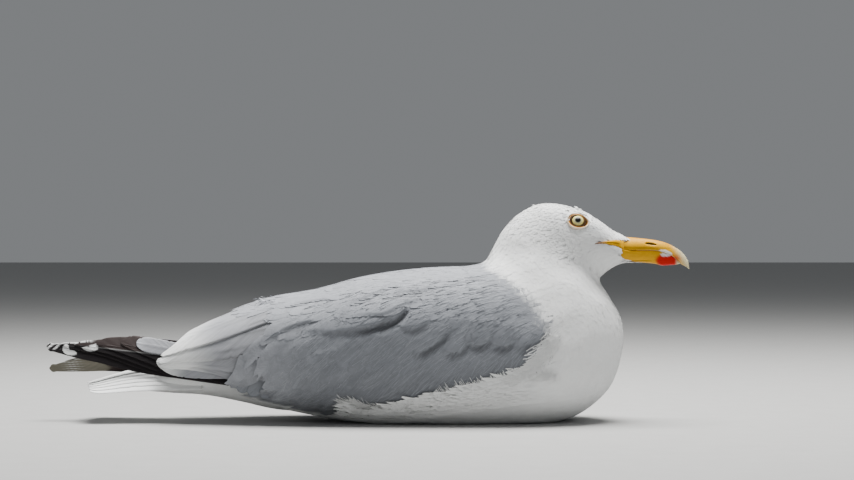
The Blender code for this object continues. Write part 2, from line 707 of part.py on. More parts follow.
def plane_through(first, second):
    """A plane along Y through two points of the side view, facing back and down: away from the head."""
    (x0, z0), (x1, z1) = first, second
    normal = Vector((z1 - z0, 0, -(x1 - x0))).normalized()
    return Vector((x0 * MM, 0, z0 * MM)), normal


def keep_side(shape, point, normal):
    """Cuts a bmesh at a plane, drops what the normal points at and closes the cut."""
    everything = shape.verts[:] + shape.edges[:] + shape.faces[:]
    cut = bmesh.ops.bisect_plane(shape, geom=everything, plane_co=point, plane_no=normal, clear_outer=True)
    edges = [e for e in cut["geom_cut"] if isinstance(e, bmesh.types.BMEdge)]
    bmesh.ops.triangle_fill(shape, edges=edges, use_beauty=True, normal=normal)


def part_of(body, name, planes):
    """A piece of the body between planes, each a point and the direction that is dropped."""
    shape = bmesh.new()
    shape.from_mesh(body.data)
    for point, normal in planes:
        keep_side(shape, point, normal)
    face_outwards(shape)
    mesh = bpy.data.meshes.new(name)
    shape.to_mesh(mesh)
    shape.free()
    mesh.materials.append(material("white plumage"))
    made = bpy.data.objects.new(name, mesh)
    bpy.context.scene.collection.objects.link(made)
    return made


def part_body(body):
    """Head, neck, breast and trunk, with thin cuts between them."""
    neck_at, down = plane_through(*NECK_ABOVE)
    breast_at, below = plane_through(*BREAST_BELOW)
    front = Vector((1, 0, 0))
    half = GAP / 2
    part_of(body, "head", [(neck_at - down * half, down)])
    part_of(body, "neck", [(neck_at + down * half, -down), (breast_at - below * half, below)])
    mid = Vector((TRUNK_FRONT_X, 0, 0))
    part_of(body, "breast", [(breast_at + below * half, -below), (mid + front * half, -front)])
    rear = Vector((TRUNK_REAR_X, 0, 0))
    part_of(body, "trunk", [(breast_at + below * half, -below), (mid - front * half, front), (rear, -front)])
    bpy.data.objects.remove(body)


SIDES = (("right", 1), ("left", -1))


def main():
    for old in list(bpy.data.objects):
        bpy.data.objects.remove(old)

    body = whole_body()
    cutters = [mantle("mantle cutter", True)]
    for word, side in SIDES:
        cutters += [
            scapulars(f"scapular cutter {word}", side, True),
            wing_pocket(f"wing cutter {word}", side),
            eyeball(f"eye cutter {word}", side, GAP),
            tarsus(f"tarsus cutter {word}", side, GAP),
            webbed_foot(f"foot cutter {word}", side, GAP),
        ]
    cutters += [upper_bill("upper bill cutter", GAP), lower_bill("lower bill cutter", GAP)]
    carve(body, cutters)
    part_body(body)

    mantle("mantle")
    rump()
    tail_coverts("uppertail_coverts", COVERT_TIPS_X[0], True)
    tail_coverts("undertail_coverts", COVERT_TIPS_X[1], False)
    for word, side in SIDES:
        scapulars(f"scapulars_{word}", side)
        wing_coverts(f"wing_coverts_{word}", side)
        secondaries(f"secondaries_{word}", side)
        flank(f"flank_{word}", side)
        eyeball(f"eye_{word}", side)
        tarsus(f"tarsus_{word}", side)
        webbed_foot(f"foot_{word}", side)
        for order in range(len(TERTIALS)):
            tertial(f"tertial_{word}_{order + 1}", side, order)
        for order in range(len(PRIMARY_TIPS_X)):
            primary(f"primary_{word}_{10 - order}", side, order)
        for order in range(TAIL_PAIRS):
            tail_feather(f"tail_feather_{word}_{order + 1}", side, order)
    beak = upper_bill("bill_upper")
    carve(beak, [nostril_cutter()])
    lower_bill("bill_lower")


main()
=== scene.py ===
"""A resting herring gull, life size: the finished look over its fixed frame.

One skin runs from the bill to the tail root. The plumage lies over it as thin vanes that follow the lie of
the feathers, and the long feathers of wings and tail are modelled one by one. Units are metres, written as
millimetres times MM; +X is the way the bill points, -Y is the bird's right side and +Z is up.
"""

import math

import bmesh
import bpy
import numpy as np
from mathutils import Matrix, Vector


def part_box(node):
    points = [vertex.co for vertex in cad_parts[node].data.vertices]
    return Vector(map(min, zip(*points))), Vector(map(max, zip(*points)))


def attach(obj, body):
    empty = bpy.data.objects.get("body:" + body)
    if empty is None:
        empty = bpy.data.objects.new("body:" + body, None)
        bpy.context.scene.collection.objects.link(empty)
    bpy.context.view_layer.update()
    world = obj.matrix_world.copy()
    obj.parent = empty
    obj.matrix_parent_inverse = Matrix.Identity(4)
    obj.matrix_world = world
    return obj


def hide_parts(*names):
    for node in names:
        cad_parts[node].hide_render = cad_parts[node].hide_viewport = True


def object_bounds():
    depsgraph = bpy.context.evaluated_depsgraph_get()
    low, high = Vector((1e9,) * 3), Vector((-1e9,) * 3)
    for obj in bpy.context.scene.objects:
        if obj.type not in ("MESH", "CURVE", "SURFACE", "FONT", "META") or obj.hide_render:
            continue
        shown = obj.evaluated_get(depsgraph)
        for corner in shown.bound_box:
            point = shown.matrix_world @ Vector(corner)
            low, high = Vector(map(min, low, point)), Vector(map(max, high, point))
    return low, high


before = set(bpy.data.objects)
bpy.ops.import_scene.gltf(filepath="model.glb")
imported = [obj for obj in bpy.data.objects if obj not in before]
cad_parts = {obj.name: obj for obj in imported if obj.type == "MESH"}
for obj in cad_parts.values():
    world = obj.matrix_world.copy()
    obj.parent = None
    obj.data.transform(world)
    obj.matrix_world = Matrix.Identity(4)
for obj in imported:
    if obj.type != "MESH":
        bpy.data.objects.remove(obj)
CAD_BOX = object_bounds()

MM = 0.001
PI = math.pi
SIDES = (("right", 1), ("left", -1))

# ---- the outline, with the same named sizes as the solids ------------------------------------------------

# Cuts through the plumage: back x, back z, belly x, belly z, half width, height of the widest point as a
# share of the cut, and the power that makes the cut rounder (2) or squarer (3).
STATIONS = {
    "tertial tips": (-171, 57, -168, 35.5, 32, 0.45, 2.2),
    "rear tertials": (-147, 75, -136, 33.5, 42, 0.38, 2.2),
    "rump": (-112, 91, -104, 21, 50, 0.38, 2.2),
    "vent": (-78, 102, -70, 10, 58, 0.42, 2.2),
    "thigh": (-44, 107.5, -36, 3, 65.5, 0.46, 2.2),
    "loin": (-10, 117, 0, -3, 70, 0.48, 2.3),
    "belly": (25, 123, 36, -6, 73.5, 0.47, 2.3),
    "saddle": (58, 126, 72, -7, 75, 0.47, 2.3),
    "shoulder": (84, 127, 108, -6, 74.5, 0.47, 2.3),
    "nape fold": (94, 129.5, 143, -3, 72.5, 0.46, 2.3),
    "low breast": (97.5, 133, 173, 6, 68, 0.45, 2.2),
    "breast": (99.5, 136.5, 197, 27, 61.5, 0.45, 2.1),
    "full breast": (101, 139.5, 208, 58, 54, 0.46, 2.0),
    "high breast": (103, 143, 207, 84, 46.5, 0.47, 2.0),
    "low neck": (106, 149, 197, 102, 39.5, 0.48, 2.0),
    "throat fold": (110.5, 156.5, 189.5, 114.6, 34.5, 0.49, 2.0),
    "upper neck": (121.5, 168, 192.5, 119.5, 30.5, 0.50, 2.0),
    "back of crown": (138, 177, 197.5, 123.5, 28, 0.51, 2.1),
    "crown": (156, 177.5, 203, 127, 25.5, 0.54, 2.3),
    "eyes": (174, 172.2, 208, 128.7, 22, 0.56, 2.4),
    "forehead": (188.5, 164.5, 213, 129.3, 16.5, 0.52, 2.3),
    "lores": (200.5, 156, 219, 129.3, 11.8, 0.47, 2.1),
    "bill base": (213, 150.3, 226, 129.2, 8.2, 0.45, 2.0),
}

# Edges on the side of the plumage, as heights at stations t: the wing's lower edge and the scapulars' lower
# border.
WING_LOW_T = (1.8, 2.2, 3, 4, 5, 6, 6.5, 7, 8, 9, 9.7, 10.3)
WING_LOW_Z = (28, 22.5, 16, 8, 6, 10, 15, 22, 29, 36, 38, 44)
SCAPULAR_LOW_T = (2.6, 3, 4, 5, 6, 7, 8, 9, 10, 10.7)
SCAPULAR_LOW_Z = (74, 76, 76, 74, 66, 55, 56, 61, 66, 70)

# The t where the grey ends in front, by share of the way up the wing and then up the scapulars, and where it
# ends behind, by share of the way round from belly to back. The mantle is a strip along the back.
COVERT_FRONT = ((0, 0.35, 0.7, 1), (8.75, 9.35, 10.1, 10.6))
SCAPULAR_FRONT = ((0, 0.3, 0.6, 0.85, 1), (10.65, 10.95, 10.7, 10.0, 9.2))
REAR_SHARE = (0.06, 0.22, 0.34, 0.46, 0.58, 0.72, 0.87, 1.0)
REAR_T = (2.2, 1.85, 1.95, 2.45, 2.95, 3.2, 3.35, 3.4)
MANTLE_HALF_ANGLE = 0.42
MANTLE_FRONT_T = 9.2

# Upper edge of the white flank feathers, as heights at stations t.
FLANK_TOP_T = (4.3, 4.7, 5.2, 5.7, 6.1, 6.5, 7, 8, 9, 9.75)
FLANK_TOP_Z = (17, 18.5, 15.5, 13, 15.5, 20.5, 26, 32, 39, 38)

# Beyond these distances from the middle plane the plumage is drawn in to a share, so that its fullest part
# stays within the width of the solids.
SKIN_SPAN = 71 * MM
COAT_SPAN = 73 * MM
SPAN_SHARE = 0.6

# Clefts between the soft lobes of the shoulder feathers, as x, z along each, with how far the feathers
# stand up above the line and how deep the hollow under it is.
CLEFTS = (
    ((-34, -12, 1, 12, 25, 34), (75, 77.5, 79.4, 82.5, 87, 95), 2.1, 3.4),
    ((25, 33, 42, 51), (81, 78, 79.5, 85), 1.0, 1.2),
    ((36, 41, 48, 60, 67), (62, 59.9, 62.5, 70.7, 79), 2.1, 2.8),
    ((60, 69.5, 77, 83), (62, 59.3, 62.5, 72), 2.1, 2.6),
    ((78, 86, 93, 100), (69, 65.6, 66, 72), 1.7, 2.3),
    ((97, 106, 113, 119), (68, 64.5, 65.5, 72), 1.7, 2.3),
    ((117, 126, 134, 145), (64, 65, 68, 74), 1.2, 1.7),
    ((-16, 0, 13, 28, 42), (86.5, 88.8, 88.6, 95.6, 102), 0.6, 0.5),
    ((12, 28, 41, 53), (102.5, 106, 107.6, 111.5), 0.45, 0.5),
    ((-14, 0, 17), (97, 103, 110.6), 0.4, 0.4),
    ((-66, -48, -30), (95, 98.5, 101), 0.4, 0.4),
    ((-74, -58, -42), (73, 80, 84), 0.7, 0.8),
)

# Tertials from the lowest to the highest: t of the tip, and the angle of the shaft at root and tip as a
# share of the way from belly to back. The floor and the cap bound the angle at t.
TERTIALS = (
    (0.50, 0.33, 0.33),
    (0.12, 0.44, 0.42),
    (0.00, 0.56, 0.54),
    (0.00, 0.70, 0.63),
    (0.10, 0.86, 0.74),
)
TERTIAL_CAP = ((0, 0.7, 1.3), (0.76, 0.82, 0.99))
TERTIAL_FLOOR = ((0, 0.5, 1, 1.5, 2, 3), (0.33, 0.27, 0.20, 0.25, 0.34, 0.40))
TERTIAL_HALF_WIDTH = 17 * MM
TERTIAL_LAYER = 0.975 * MM

# Tips of the last four secondaries as x, z, and the line of the lowest tertial from root to tip.
LAST_SECONDARY_TIPS = ((-111, 31.5), (-104, 26.5), (-95.5, 23.5), (-86, 22))
LOW_TERTIAL_X = (-100, -120, -140, -158, -171)
LOW_TERTIAL_Y = (38, 35, 32, 29.5, 28)
LOW_TERTIAL_Z = (43, 43.5, 43.8, 46, 49.8)

# Primaries, the outermost first. All lie along one line; the taper gives the wing point's lower and upper
# edge along x, as shares of the half width.
PRIMARY_TIPS_X = (-263, -254, -240, -222, -202)
INNER_PRIMARY_TIP_X = -189
PRIMARY_LINE_X = (-112, -144, -171, -215, -263)
PRIMARY_LINE_Y = (29, 20.5, 15.5, 10.5, 6.5)
RIGHT_LINE_Z = (39.5, 45.5, 50, 56, 60.8)
LEFT_LINE_Z = (41, 46.5, 49, 48.5, 42)
PRIMARY_HALF_WIDTH = 13 * MM
PRIMARY_TAPER_X = (-112, -144, -171, -192, -220, -233, -248, -257, -261.5, -263)
PRIMARY_LOW_SHARE = (0.75, 0.92, 1, 0.97, 0.72, 0.62, 0.43, 0.30, 0.22, 0.03)
PRIMARY_HIGH_SHARE = (0.75, 0.92, 1, 1, 0.62, 0.42, 0.30, 0.25, 0.20, 0.03)
PRIMARY_LAYER = 0.845 * MM
PRIMARY_RISE = 1.105 * MM
PRIMARY_CAMBER_RADIUS = 90 * MM
PRIMARY_LEAN = math.radians(66)

# The tail's roof, tip to root: height of its ridge and edge, and its half width.
TAIL_X = (-230, -193, -150, -134.5)
TAIL_RIDGE_Z = (31.5, 42, 45.5, 46.5)
TAIL_EDGE_Z = (28.3, 28.0, 28.6, 29.5)
TAIL_HALF_WIDTH = (37, 34, 27, 24)
TAIL_PAIRS = 6
TAIL_LAYER = 0.6 * MM

# Rump, vent and the coverts round the tail root, back to front: x, top z, bottom z, half width.
HIND = {
    "covert ends": (-197, 37.5, 26.5, 5),
    "covert tips": (-184, 41.0, 24.6, 15),
    "coverts": (-160, 46.0, 22.6, 23),
    "tail root": (-134, 55, 21.0, 24),
    "vent": (-104, 81, 15.4, 24),
    "back": (-80, 92, 10.0, 39),
    "under the wings": (-46, 98, 5.0, 54),
}

# Bill in side view, front to back: culmen, mouth line and lower edge, with half widths.
BILL_X = (263, 262.4, 260.8, 257, 252, 245.6, 239.3, 230, 221, 211, 200)
CULMEN_Z = (125.2, 129.2, 132.9, 137.9, 141.6, 145.0, 147, 148.6, 149.6, 150.4, 150.6)
HOOK_Z = (124.2, 124.6, 126.0, 127.9, 132.6, 136.8, 139.0, 139.8, 139.8, 140.3, 142.5)
BILL_HALF_WIDTH = (0.9, 1.3, 2.1, 3.1, 4.0, 5.0, 5.8, 6.6, 7.4, 9.0, 11.3)
MANDIBLE_X = (255.6, 252.5, 247, 240.5, 235, 229, 221, 211, 200)
GONYS_Z = (128.6, 127.9, 127.4, 127.1, 128.5, 129.2, 129.7, 130.6, 131.8)
EYE_AT = (171.3, 163.6)
EYE_RADIUS = 7.6 * MM


def curve(knots, values, at):
    """A cubic through values at increasing knots. Each inner slope is the mean of the chords on its two
    sides, the nearer chord weighing more."""
    knots = np.asarray(knots, float)
    values = np.asarray(values, float)
    at = np.clip(np.asarray(at, float), knots[0], knots[-1])
    flat = values.reshape(len(knots), -1)
    gap = np.diff(knots)[:, None]
    chord = np.diff(flat, axis=0) / gap
    inner = (gap[1:] * chord[:-1] + gap[:-1] * chord[1:]) / (gap[1:] + gap[:-1])
    slope = np.vstack([chord[:1], inner, chord[-1:]])
    i = np.clip(np.searchsorted(knots, at, side="right") - 1, 0, len(knots) - 2)
    length = gap[i, 0]
    s = ((at - knots[i]) / length)[..., None]
    step = length[..., None]
    made = (
        flat[i] * (1 + 2 * s) * (1 - s) ** 2
        + slope[i] * step * s * (1 - s) ** 2
        + flat[i + 1] * s**2 * (3 - 2 * s)
        + slope[i + 1] * step * s**2 * (s - 1)
    )
    return made.reshape(at.shape + values.shape[1:])


def falling(knots, values, at):
    """curve() for knots that fall from first to last."""
    return curve(knots[::-1], values[::-1], at)


def ease(low, high, value):
    """0 below low, 1 above high, and 3k^2 - 2k^3 in between, k being the share of the way."""
    k = ((np.asarray(value, float) - low) / (high - low)).clip(0, 1)
    return k * k * (3 - 2 * k)


def hump(value, middle, width):
    """A bell: e to the minus square of the distance from the middle in widths."""
    return np.exp(-(((np.asarray(value, float) - middle) / width) ** 2))


def unit(v):
    """The vectors divided by their lengths."""
    return v / np.maximum(np.linalg.norm(v, axis=-1, keepdims=True), 1e-12)


def drawn_in(points, start, share):
    """The points, where what lies further than start from the middle plane is drawn in to a share of it."""
    beyond = np.maximum(np.abs(points[..., 1]) - start, 0)
    points[..., 1] = points[..., 1] - np.sign(points[..., 1]) * beyond * (1 - share)
    return points


CUTS = np.array(list(STATIONS.values()), float)


def plumage(t, phi):
    """The plain outline at station t and angle phi: from the widest point of the cut, back or belly half
    times |cos phi| to a power, and the half width times |sin phi| to the same power. It is pressed flat on
    the floor."""
    t, phi = np.broadcast_arrays(np.asarray(t, float), np.asarray(phi, float))
    cut = curve(np.arange(len(CUTS)), CUTS, t)
    back = cut[..., 0:2]
    belly = cut[..., 2:4]
    share = cut[..., 5:6]
    power = 2 / cut[..., 6]
    across = np.cos(phi)
    reach = np.sign(across) * np.abs(across) ** power
    side = np.sign(np.sin(phi)) * np.abs(np.sin(phi)) ** power
    middle = belly + (back - belly) * share
    towards = np.where(reach[..., None] > 0, belly - middle, back - middle)
    at = middle + towards * np.abs(reach)[..., None]
    return np.stack([at[..., 0], -cut[..., 4] * side, np.maximum(at[..., 1], 0)], -1) * MM


def hind(t, phi):
    """The outline of rump, vent and tail coverts: ellipses across the body at stations t of HIND."""
    table = np.array(list(HIND.values()), float)
    t, phi = np.broadcast_arrays(np.asarray(t, float), np.asarray(phi, float))
    cut = curve(np.arange(len(table)), table, t)
    middle = (cut[..., 1] + cut[..., 2]) / 2
    half = (cut[..., 1] - cut[..., 2]) / 2
    return np.stack([cut[..., 0], -cut[..., 3] * np.sin(phi), middle - half * np.cos(phi)], -1) * MM


def angle_at_height(t, z):
    """The angle at which the side of cut t reaches height z, read off the cut itself."""
    angles = np.linspace(0.02, PI - 0.02, 200)
    t, z = np.broadcast_arrays(np.atleast_1d(t).astype(float), np.atleast_1d(z))
    heights = plumage(t[..., None], angles)[..., 2] / MM
    place = (heights < z[..., None]).sum(-1)
    return angles[np.clip(place, 0, 199)]


FINE_T = np.linspace(0, 22, 221)
WING_LOW = angle_at_height(FINE_T, curve(WING_LOW_T, WING_LOW_Z, FINE_T))
SCAPULAR_LOW = angle_at_height(FINE_T, curve(SCAPULAR_LOW_T, SCAPULAR_LOW_Z, FINE_T))
FLANK_HIGH = angle_at_height(FINE_T, curve(FLANK_TOP_T, FLANK_TOP_Z, FINE_T))


def wing_low(t):
    """Angle of the wing's lower edge."""
    return np.interp(t, FINE_T, WING_LOW)


def flank_high(t):
    """Angle of the upper edge of the white flank feathers."""
    return np.interp(t, FINE_T, FLANK_HIGH)


def scapular_low(t):
    """Angle of the border between scapulars and the wing below them."""
    return np.interp(t, FINE_T, SCAPULAR_LOW)


def rear_edge(phi):
    """The t where the grey feathers end over the tertials and primaries."""
    return curve(REAR_SHARE, REAR_T, np.abs(phi) / PI)


def grey_front(t, phi):
    """The t where the grey ends in front, along the wing's bend, the scapulars and the mantle."""
    a = np.abs(phi)
    low, mid, top = wing_low(t), scapular_low(t), PI - MANTLE_HALF_ANGLE
    covert = curve(*COVERT_FRONT, (a - low) / np.maximum(mid - low, 0.05))
    shoulder = curve(*SCAPULAR_FRONT, (a - mid) / np.maximum(top - mid, 0.05))
    return np.where(a < mid, covert, np.where(a < top, shoulder, MANTLE_FRONT_T))


def greyness(t, phi, soft=0.45):
    """1 on the grey of back and wings, 0 on the white, soft along the front and the wing's lower edge."""
    front = ease(-soft, soft, grey_front(t, phi) - t)
    above = ease(-0.05, 0.05, np.abs(phi) - wing_low(t))
    return front * above


def wing_share(t, phi):
    """0 on the wing's lower edge, 1 on the scapulars' lower border, 2 on the mantle's edge, 3 on the back."""
    a = np.abs(phi)
    low, mid, top = wing_low(t), scapular_low(t), PI - MANTLE_HALF_ANGLE
    on_wing = (a - low) / np.maximum(mid - low, 0.05)
    on_shoulder = 1 + (a - mid) / np.maximum(top - mid, 0.05)
    share = np.where(a < mid, on_wing, np.where(a < top, on_shoulder, 2 + (a - top) / MANTLE_HALF_ANGLE))
    return share.clip(-0.5, 3)


def sweep(t, phi, x):
    """How many degrees below level the grey feathers point, seen from the side: steep on the wing, steeper
    at its bend, flatter over the shoulder and level on the back."""
    share = wing_share(t, phi)
    bend = ease(70, 125, x) * ease(1.3, 0.8, share)
    return np.interp(share, (-0.3, 0, 0.5, 1, 1.5, 2, 3), (44, 47, 49, 41, 27, 13, 3)) + 14 * bend


def waves(x, z, seed, size):
    """Gentle unevenness: the mean of six sine waves of random heading, with lengths round size."""
    rng = np.random.default_rng(seed)
    total = 0 * x
    for _ in range(6):
        heading, phase = rng.uniform(0, 2 * PI, 2)
        length = size * rng.uniform(0.7, 1.6)
        total = total + np.sin((x * np.cos(heading) + z * np.sin(heading)) * 2 * PI / length + phase)
    return total / 6


def clefts(t, phi, x, z):
    """How far the feathers stand up above the clefts of the shoulder, and how deep the hollows under them
    are: two smooth steps on either side of each line, which fade out slowly towards its rear end and
    quickly at its front end."""
    stand_up, hollow = 0 * x, 0 * x
    for line_x, line_z, stand, sink in CLEFTS:
        rear, front = line_x[0], line_x[-1]
        fade = (front - rear) * np.clip((front - rear) / 90, 0.35, 0.75)
        ends = ease(rear - 1, rear + fade, x) * ease(front + 1, front - 5, x)
        over = (z - curve(line_x, line_z, x)) * 0.88
        stand_up = stand_up + stand * ease(-0.5, 0.7, over) * ease(20, 3, over) * ends
        hollow = hollow + sink * ease(0.7, -0.5, over) * ease(-8.5, -0.5, over) * ends
    on = ease(1.2, 1.7, np.abs(phi)) * ease(11.3, 10.6, t)
    return stand_up * on, hollow * on


def relief(t, phi):
    """How far the plumage stands out of the plain outline: the step down from scapulars to coverts, slanting
    folds on the wing, a rise over and a hollow under each cleft, brow, cheek and ear on the head, and soft
    unevenness on neck and breast."""
    p = plumage(t, phi) / MM
    x, z = p[..., 0], p[..., 2]
    a = np.abs(phi)
    below = (scapular_low(t) - a) * 62
    on_wing = ease(-0.03, 0.05, a - wing_low(t)) * ease(10.9, 10.2, t) * ease(1.9, 2.6, t)
    step = -1.0 * ease(-1.0, 2.5, below) * ease(30, 5, below) * ease(3.2, 4.2, t) * on_wing
    slant = x * 0.66 - z * 0.75
    folds = 0.6 * np.sin(slant * 2 * PI / 17 + waves(x, z, 3, 60) * 4) * ease(4, 18, below) * on_wing
    stand_up, hollow = clefts(t, phi, x, z)
    lobes = stand_up - hollow
    brow = 0.5 * hump(x, 176, 11) * hump(z, 169.6, 2.6)
    cheek = -0.55 * hump(z - 0.28 * (x - 170), 141, 3.2) * ease(150, 168, x) * ease(205, 185, x)
    ear = 0.4 * hump(x, 152, 12) * hump(z, 152, 10)
    head = (brow + cheek + ear) * ease(16.0, 17.5, t)
    throat = 0.5 * waves(x, z * 1.4, 8, 30) * ease(8.5, 10.5, t) * ease(17, 15, t)
    pocket = -2.2 * hump(x, 130, 6) * hump(z - 0.3 * (x - 130), 36, 3) * ease(0.6, 1.0, a)
    return (step + folds + lobes + head + throat + pocket) * MM


class Outline:
    """A closed surface of (t, phi) read from fine tables of its points, slopes and normals."""

    def __init__(self, shape, stand_out, t_last, rows, columns=361):
        """shape(t, phi) moved out along its normals by stand_out(t, phi), drawn in and kept off the floor."""
        t = np.linspace(0, t_last, rows)[:, None]
        phi = np.linspace(-PI, PI, columns)[None, :]
        self.t, self.phi = t + 0 * phi, phi + 0 * t
        self.dt, self.dp = t_last / (rows - 1), 2 * PI / (columns - 1)
        plain = self.with_slopes(shape(self.t, self.phi))
        out = plain[..., 9:12] * stand_out(self.t, self.phi)[..., None]
        points = drawn_in(plain[..., 0:3] + out, SKIN_SPAN, SPAN_SHARE)
        points[..., 2] = np.maximum(points[..., 2], 0.3 * MM)
        self.table = self.with_slopes(points)
        self.area = np.linalg.norm(np.cross(self.table[..., 3:6], self.table[..., 6:9]), axis=-1)

    def with_slopes(self, points):
        """Points with the slopes along t and phi, taken from neighbours, and their cross product."""
        ring = np.concatenate([points[:, -2:-1], points, points[:, 1:2]], 1)
        along = np.gradient(points, self.dt, axis=0)
        around = (ring[:, 2:] - ring[:, :-2]) / (2 * self.dp)
        return np.concatenate([points, along, around, unit(np.cross(along, around))], -1)

    def read(self, t, phi):
        """Point, slope along t, slope along phi and normal, by bilinear reading of the tables."""
        rows, columns = self.table.shape[:2]
        a = np.clip(t / self.dt, 0, rows - 1.001)
        b = np.clip(((phi + PI) % (2 * PI)) / self.dp, 0, columns - 1.001)
        i, j = a.astype(int), b.astype(int)
        f, g = (a - i)[..., None], (b - j)[..., None]
        near = self.table[i, j] * (1 - g) + self.table[i, j + 1] * g
        far = self.table[i + 1, j] * (1 - g) + self.table[i + 1, j + 1] * g
        row = near * (1 - f) + far * f
        return row[..., 0:3], row[..., 3:6], row[..., 6:9], unit(row[..., 9:12])

    def scatter(self, count, inside, seed, crowd=None):
        """Roots spread evenly over the area where inside(t, phi) holds: a lattice of two irrational steps,
        put through the running sums of the area."""
        weight = self.area * inside(self.t, self.phi)
        if crowd is not None:
            weight = weight * crowd(self.t, self.phi)
        k = np.arange(count) + 0.5 + seed * 17.31
        first, second = (k * 0.7548776662) % 1, (k * 0.5698402910) % 1
        rows = weight.sum(1)
        whole = np.concatenate([[0], np.cumsum(rows)])
        place = np.interp(first * whole[-1], whole, np.arange(len(whole)))
        i = np.clip(place.astype(int), 0, len(rows) - 1)
        along_row = np.cumsum(weight, 1)[i]
        wanted = second * along_row[:, -1]
        j = (along_row < wanted[:, None]).sum(1)
        rng = np.random.default_rng(seed)
        t = place * self.dt
        phi = -PI + (j + rng.uniform(-0.5, 0.5, count)) * self.dp
        return t, phi


BODY = Outline(plumage, relief, 22, 881)
TAIL_END = Outline(hind, lambda t, phi: 0 * t, len(HIND) - 1, 241)


# ---- meshes ----------------------------------------------------------------------------------------------


def put_mesh(name, points, faces, tint, finish, replaces=(), vane=None, bake=None, normals=None):
    """One object from points and faces (rows of corner numbers), with its colours in the Tint attribute,
    millimetres along and across the feather in the map Vane, and the map OFBake where it is a coat."""
    mesh = bpy.data.meshes.new(name)
    points = points.reshape(-1, 3)
    corners = faces.shape[1]
    mesh.vertices.add(len(points))
    mesh.vertices.foreach_set("co", points.ravel().astype(np.float32))
    mesh.loops.add(faces.size)
    mesh.loops.foreach_set("vertex_index", faces.ravel().astype(np.int32))
    mesh.polygons.add(len(faces))
    mesh.polygons.foreach_set("loop_start", np.arange(len(faces), dtype=np.int32) * corners)
    mesh.update(calc_edges=True)
    mesh.validate()
    mesh.shade_smooth()
    colour = mesh.attributes.new("Tint", "FLOAT_COLOR", "POINT")
    rgba = np.ones((len(points), 4), np.float32)
    rgba[:, :3] = np.broadcast_to(tint, (len(points), 3)) if np.ndim(tint) == 1 else tint.reshape(-1, 3)
    colour.data.foreach_set("color", rgba.ravel())
    order = np.empty(len(mesh.loops), np.int32)
    mesh.loops.foreach_get("vertex_index", order)
    for title, values in (("OFBake", bake), ("Vane", vane)):
        if values is not None:
            layer = mesh.uv_layers.new(name=title)
            layer.data.foreach_set("uv", values.reshape(-1, 2)[order].ravel().astype(np.float32))
    if normals is not None:
        mesh.normals_split_custom_set_from_vertices(normals.reshape(-1, 3))
    mesh.materials.append(finish)
    made = bpy.data.objects.new(name, mesh)
    bpy.context.scene.collection.objects.link(made)
    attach(made, "root")
    if replaces:
        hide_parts(*replaces)
    return made


def sheet_faces(rows, columns, sheets=1, closed=False):
    """Quads of one or more grids whose points run sheet by sheet and row by row."""
    r, c = np.meshgrid(np.arange(rows - 1), np.arange(columns if closed else columns - 1), indexing="ij")
    near, far = c.ravel(), (c.ravel() + 1) % columns
    low, high = r.ravel() * columns, (r.ravel() + 1) * columns
    one = np.stack([low + near, low + far, high + far, high + near], -1)
    start = np.arange(sheets)[:, None, None] * rows * columns
    return (one[None] + start).reshape(-1, 4)


def plate_faces(rows, columns):
    """Quads of a closed plate: an upper grid, a lower grid turned over, and walls round the rim."""
    count = rows * columns
    upper = sheet_faces(rows, columns)
    lower = sheet_faces(rows, columns)[:, ::-1] + count
    rim = np.concatenate(
        [
            np.arange(rows) * columns,
            (rows - 1) * columns + np.arange(1, columns),
            np.arange(rows - 2, -1, -1) * columns + columns - 1,
            np.arange(columns - 2, 0, -1),
        ]
    )
    ahead = np.roll(rim, -1)
    walls = np.stack([rim, ahead, ahead + count, rim + count], -1)
    return np.concatenate([upper, lower, walls])


def turned_out(points, faces):
    """The faces, turned over if the closed shape they bound has a negative volume."""
    p = points.reshape(-1, 3)[faces]
    middle = p.mean(1)
    across = np.cross(p[:, 2] - p[:, 0], p[:, 3] - p[:, 1])
    return faces if (middle * across).sum() > 0 else faces[:, ::-1]


def grid_normals(points):
    """Normals of grids (sheets, rows, columns), from the slopes along rows and columns."""
    down = np.gradient(points, axis=1)
    across = np.gradient(points, axis=2)
    return unit(np.cross(across, down))


# ---- finishes --------------------------------------------------------------------------------------------


# Place of Object among the outputs of a Texture Coordinate node.
OBJECT_OUTPUT = 3


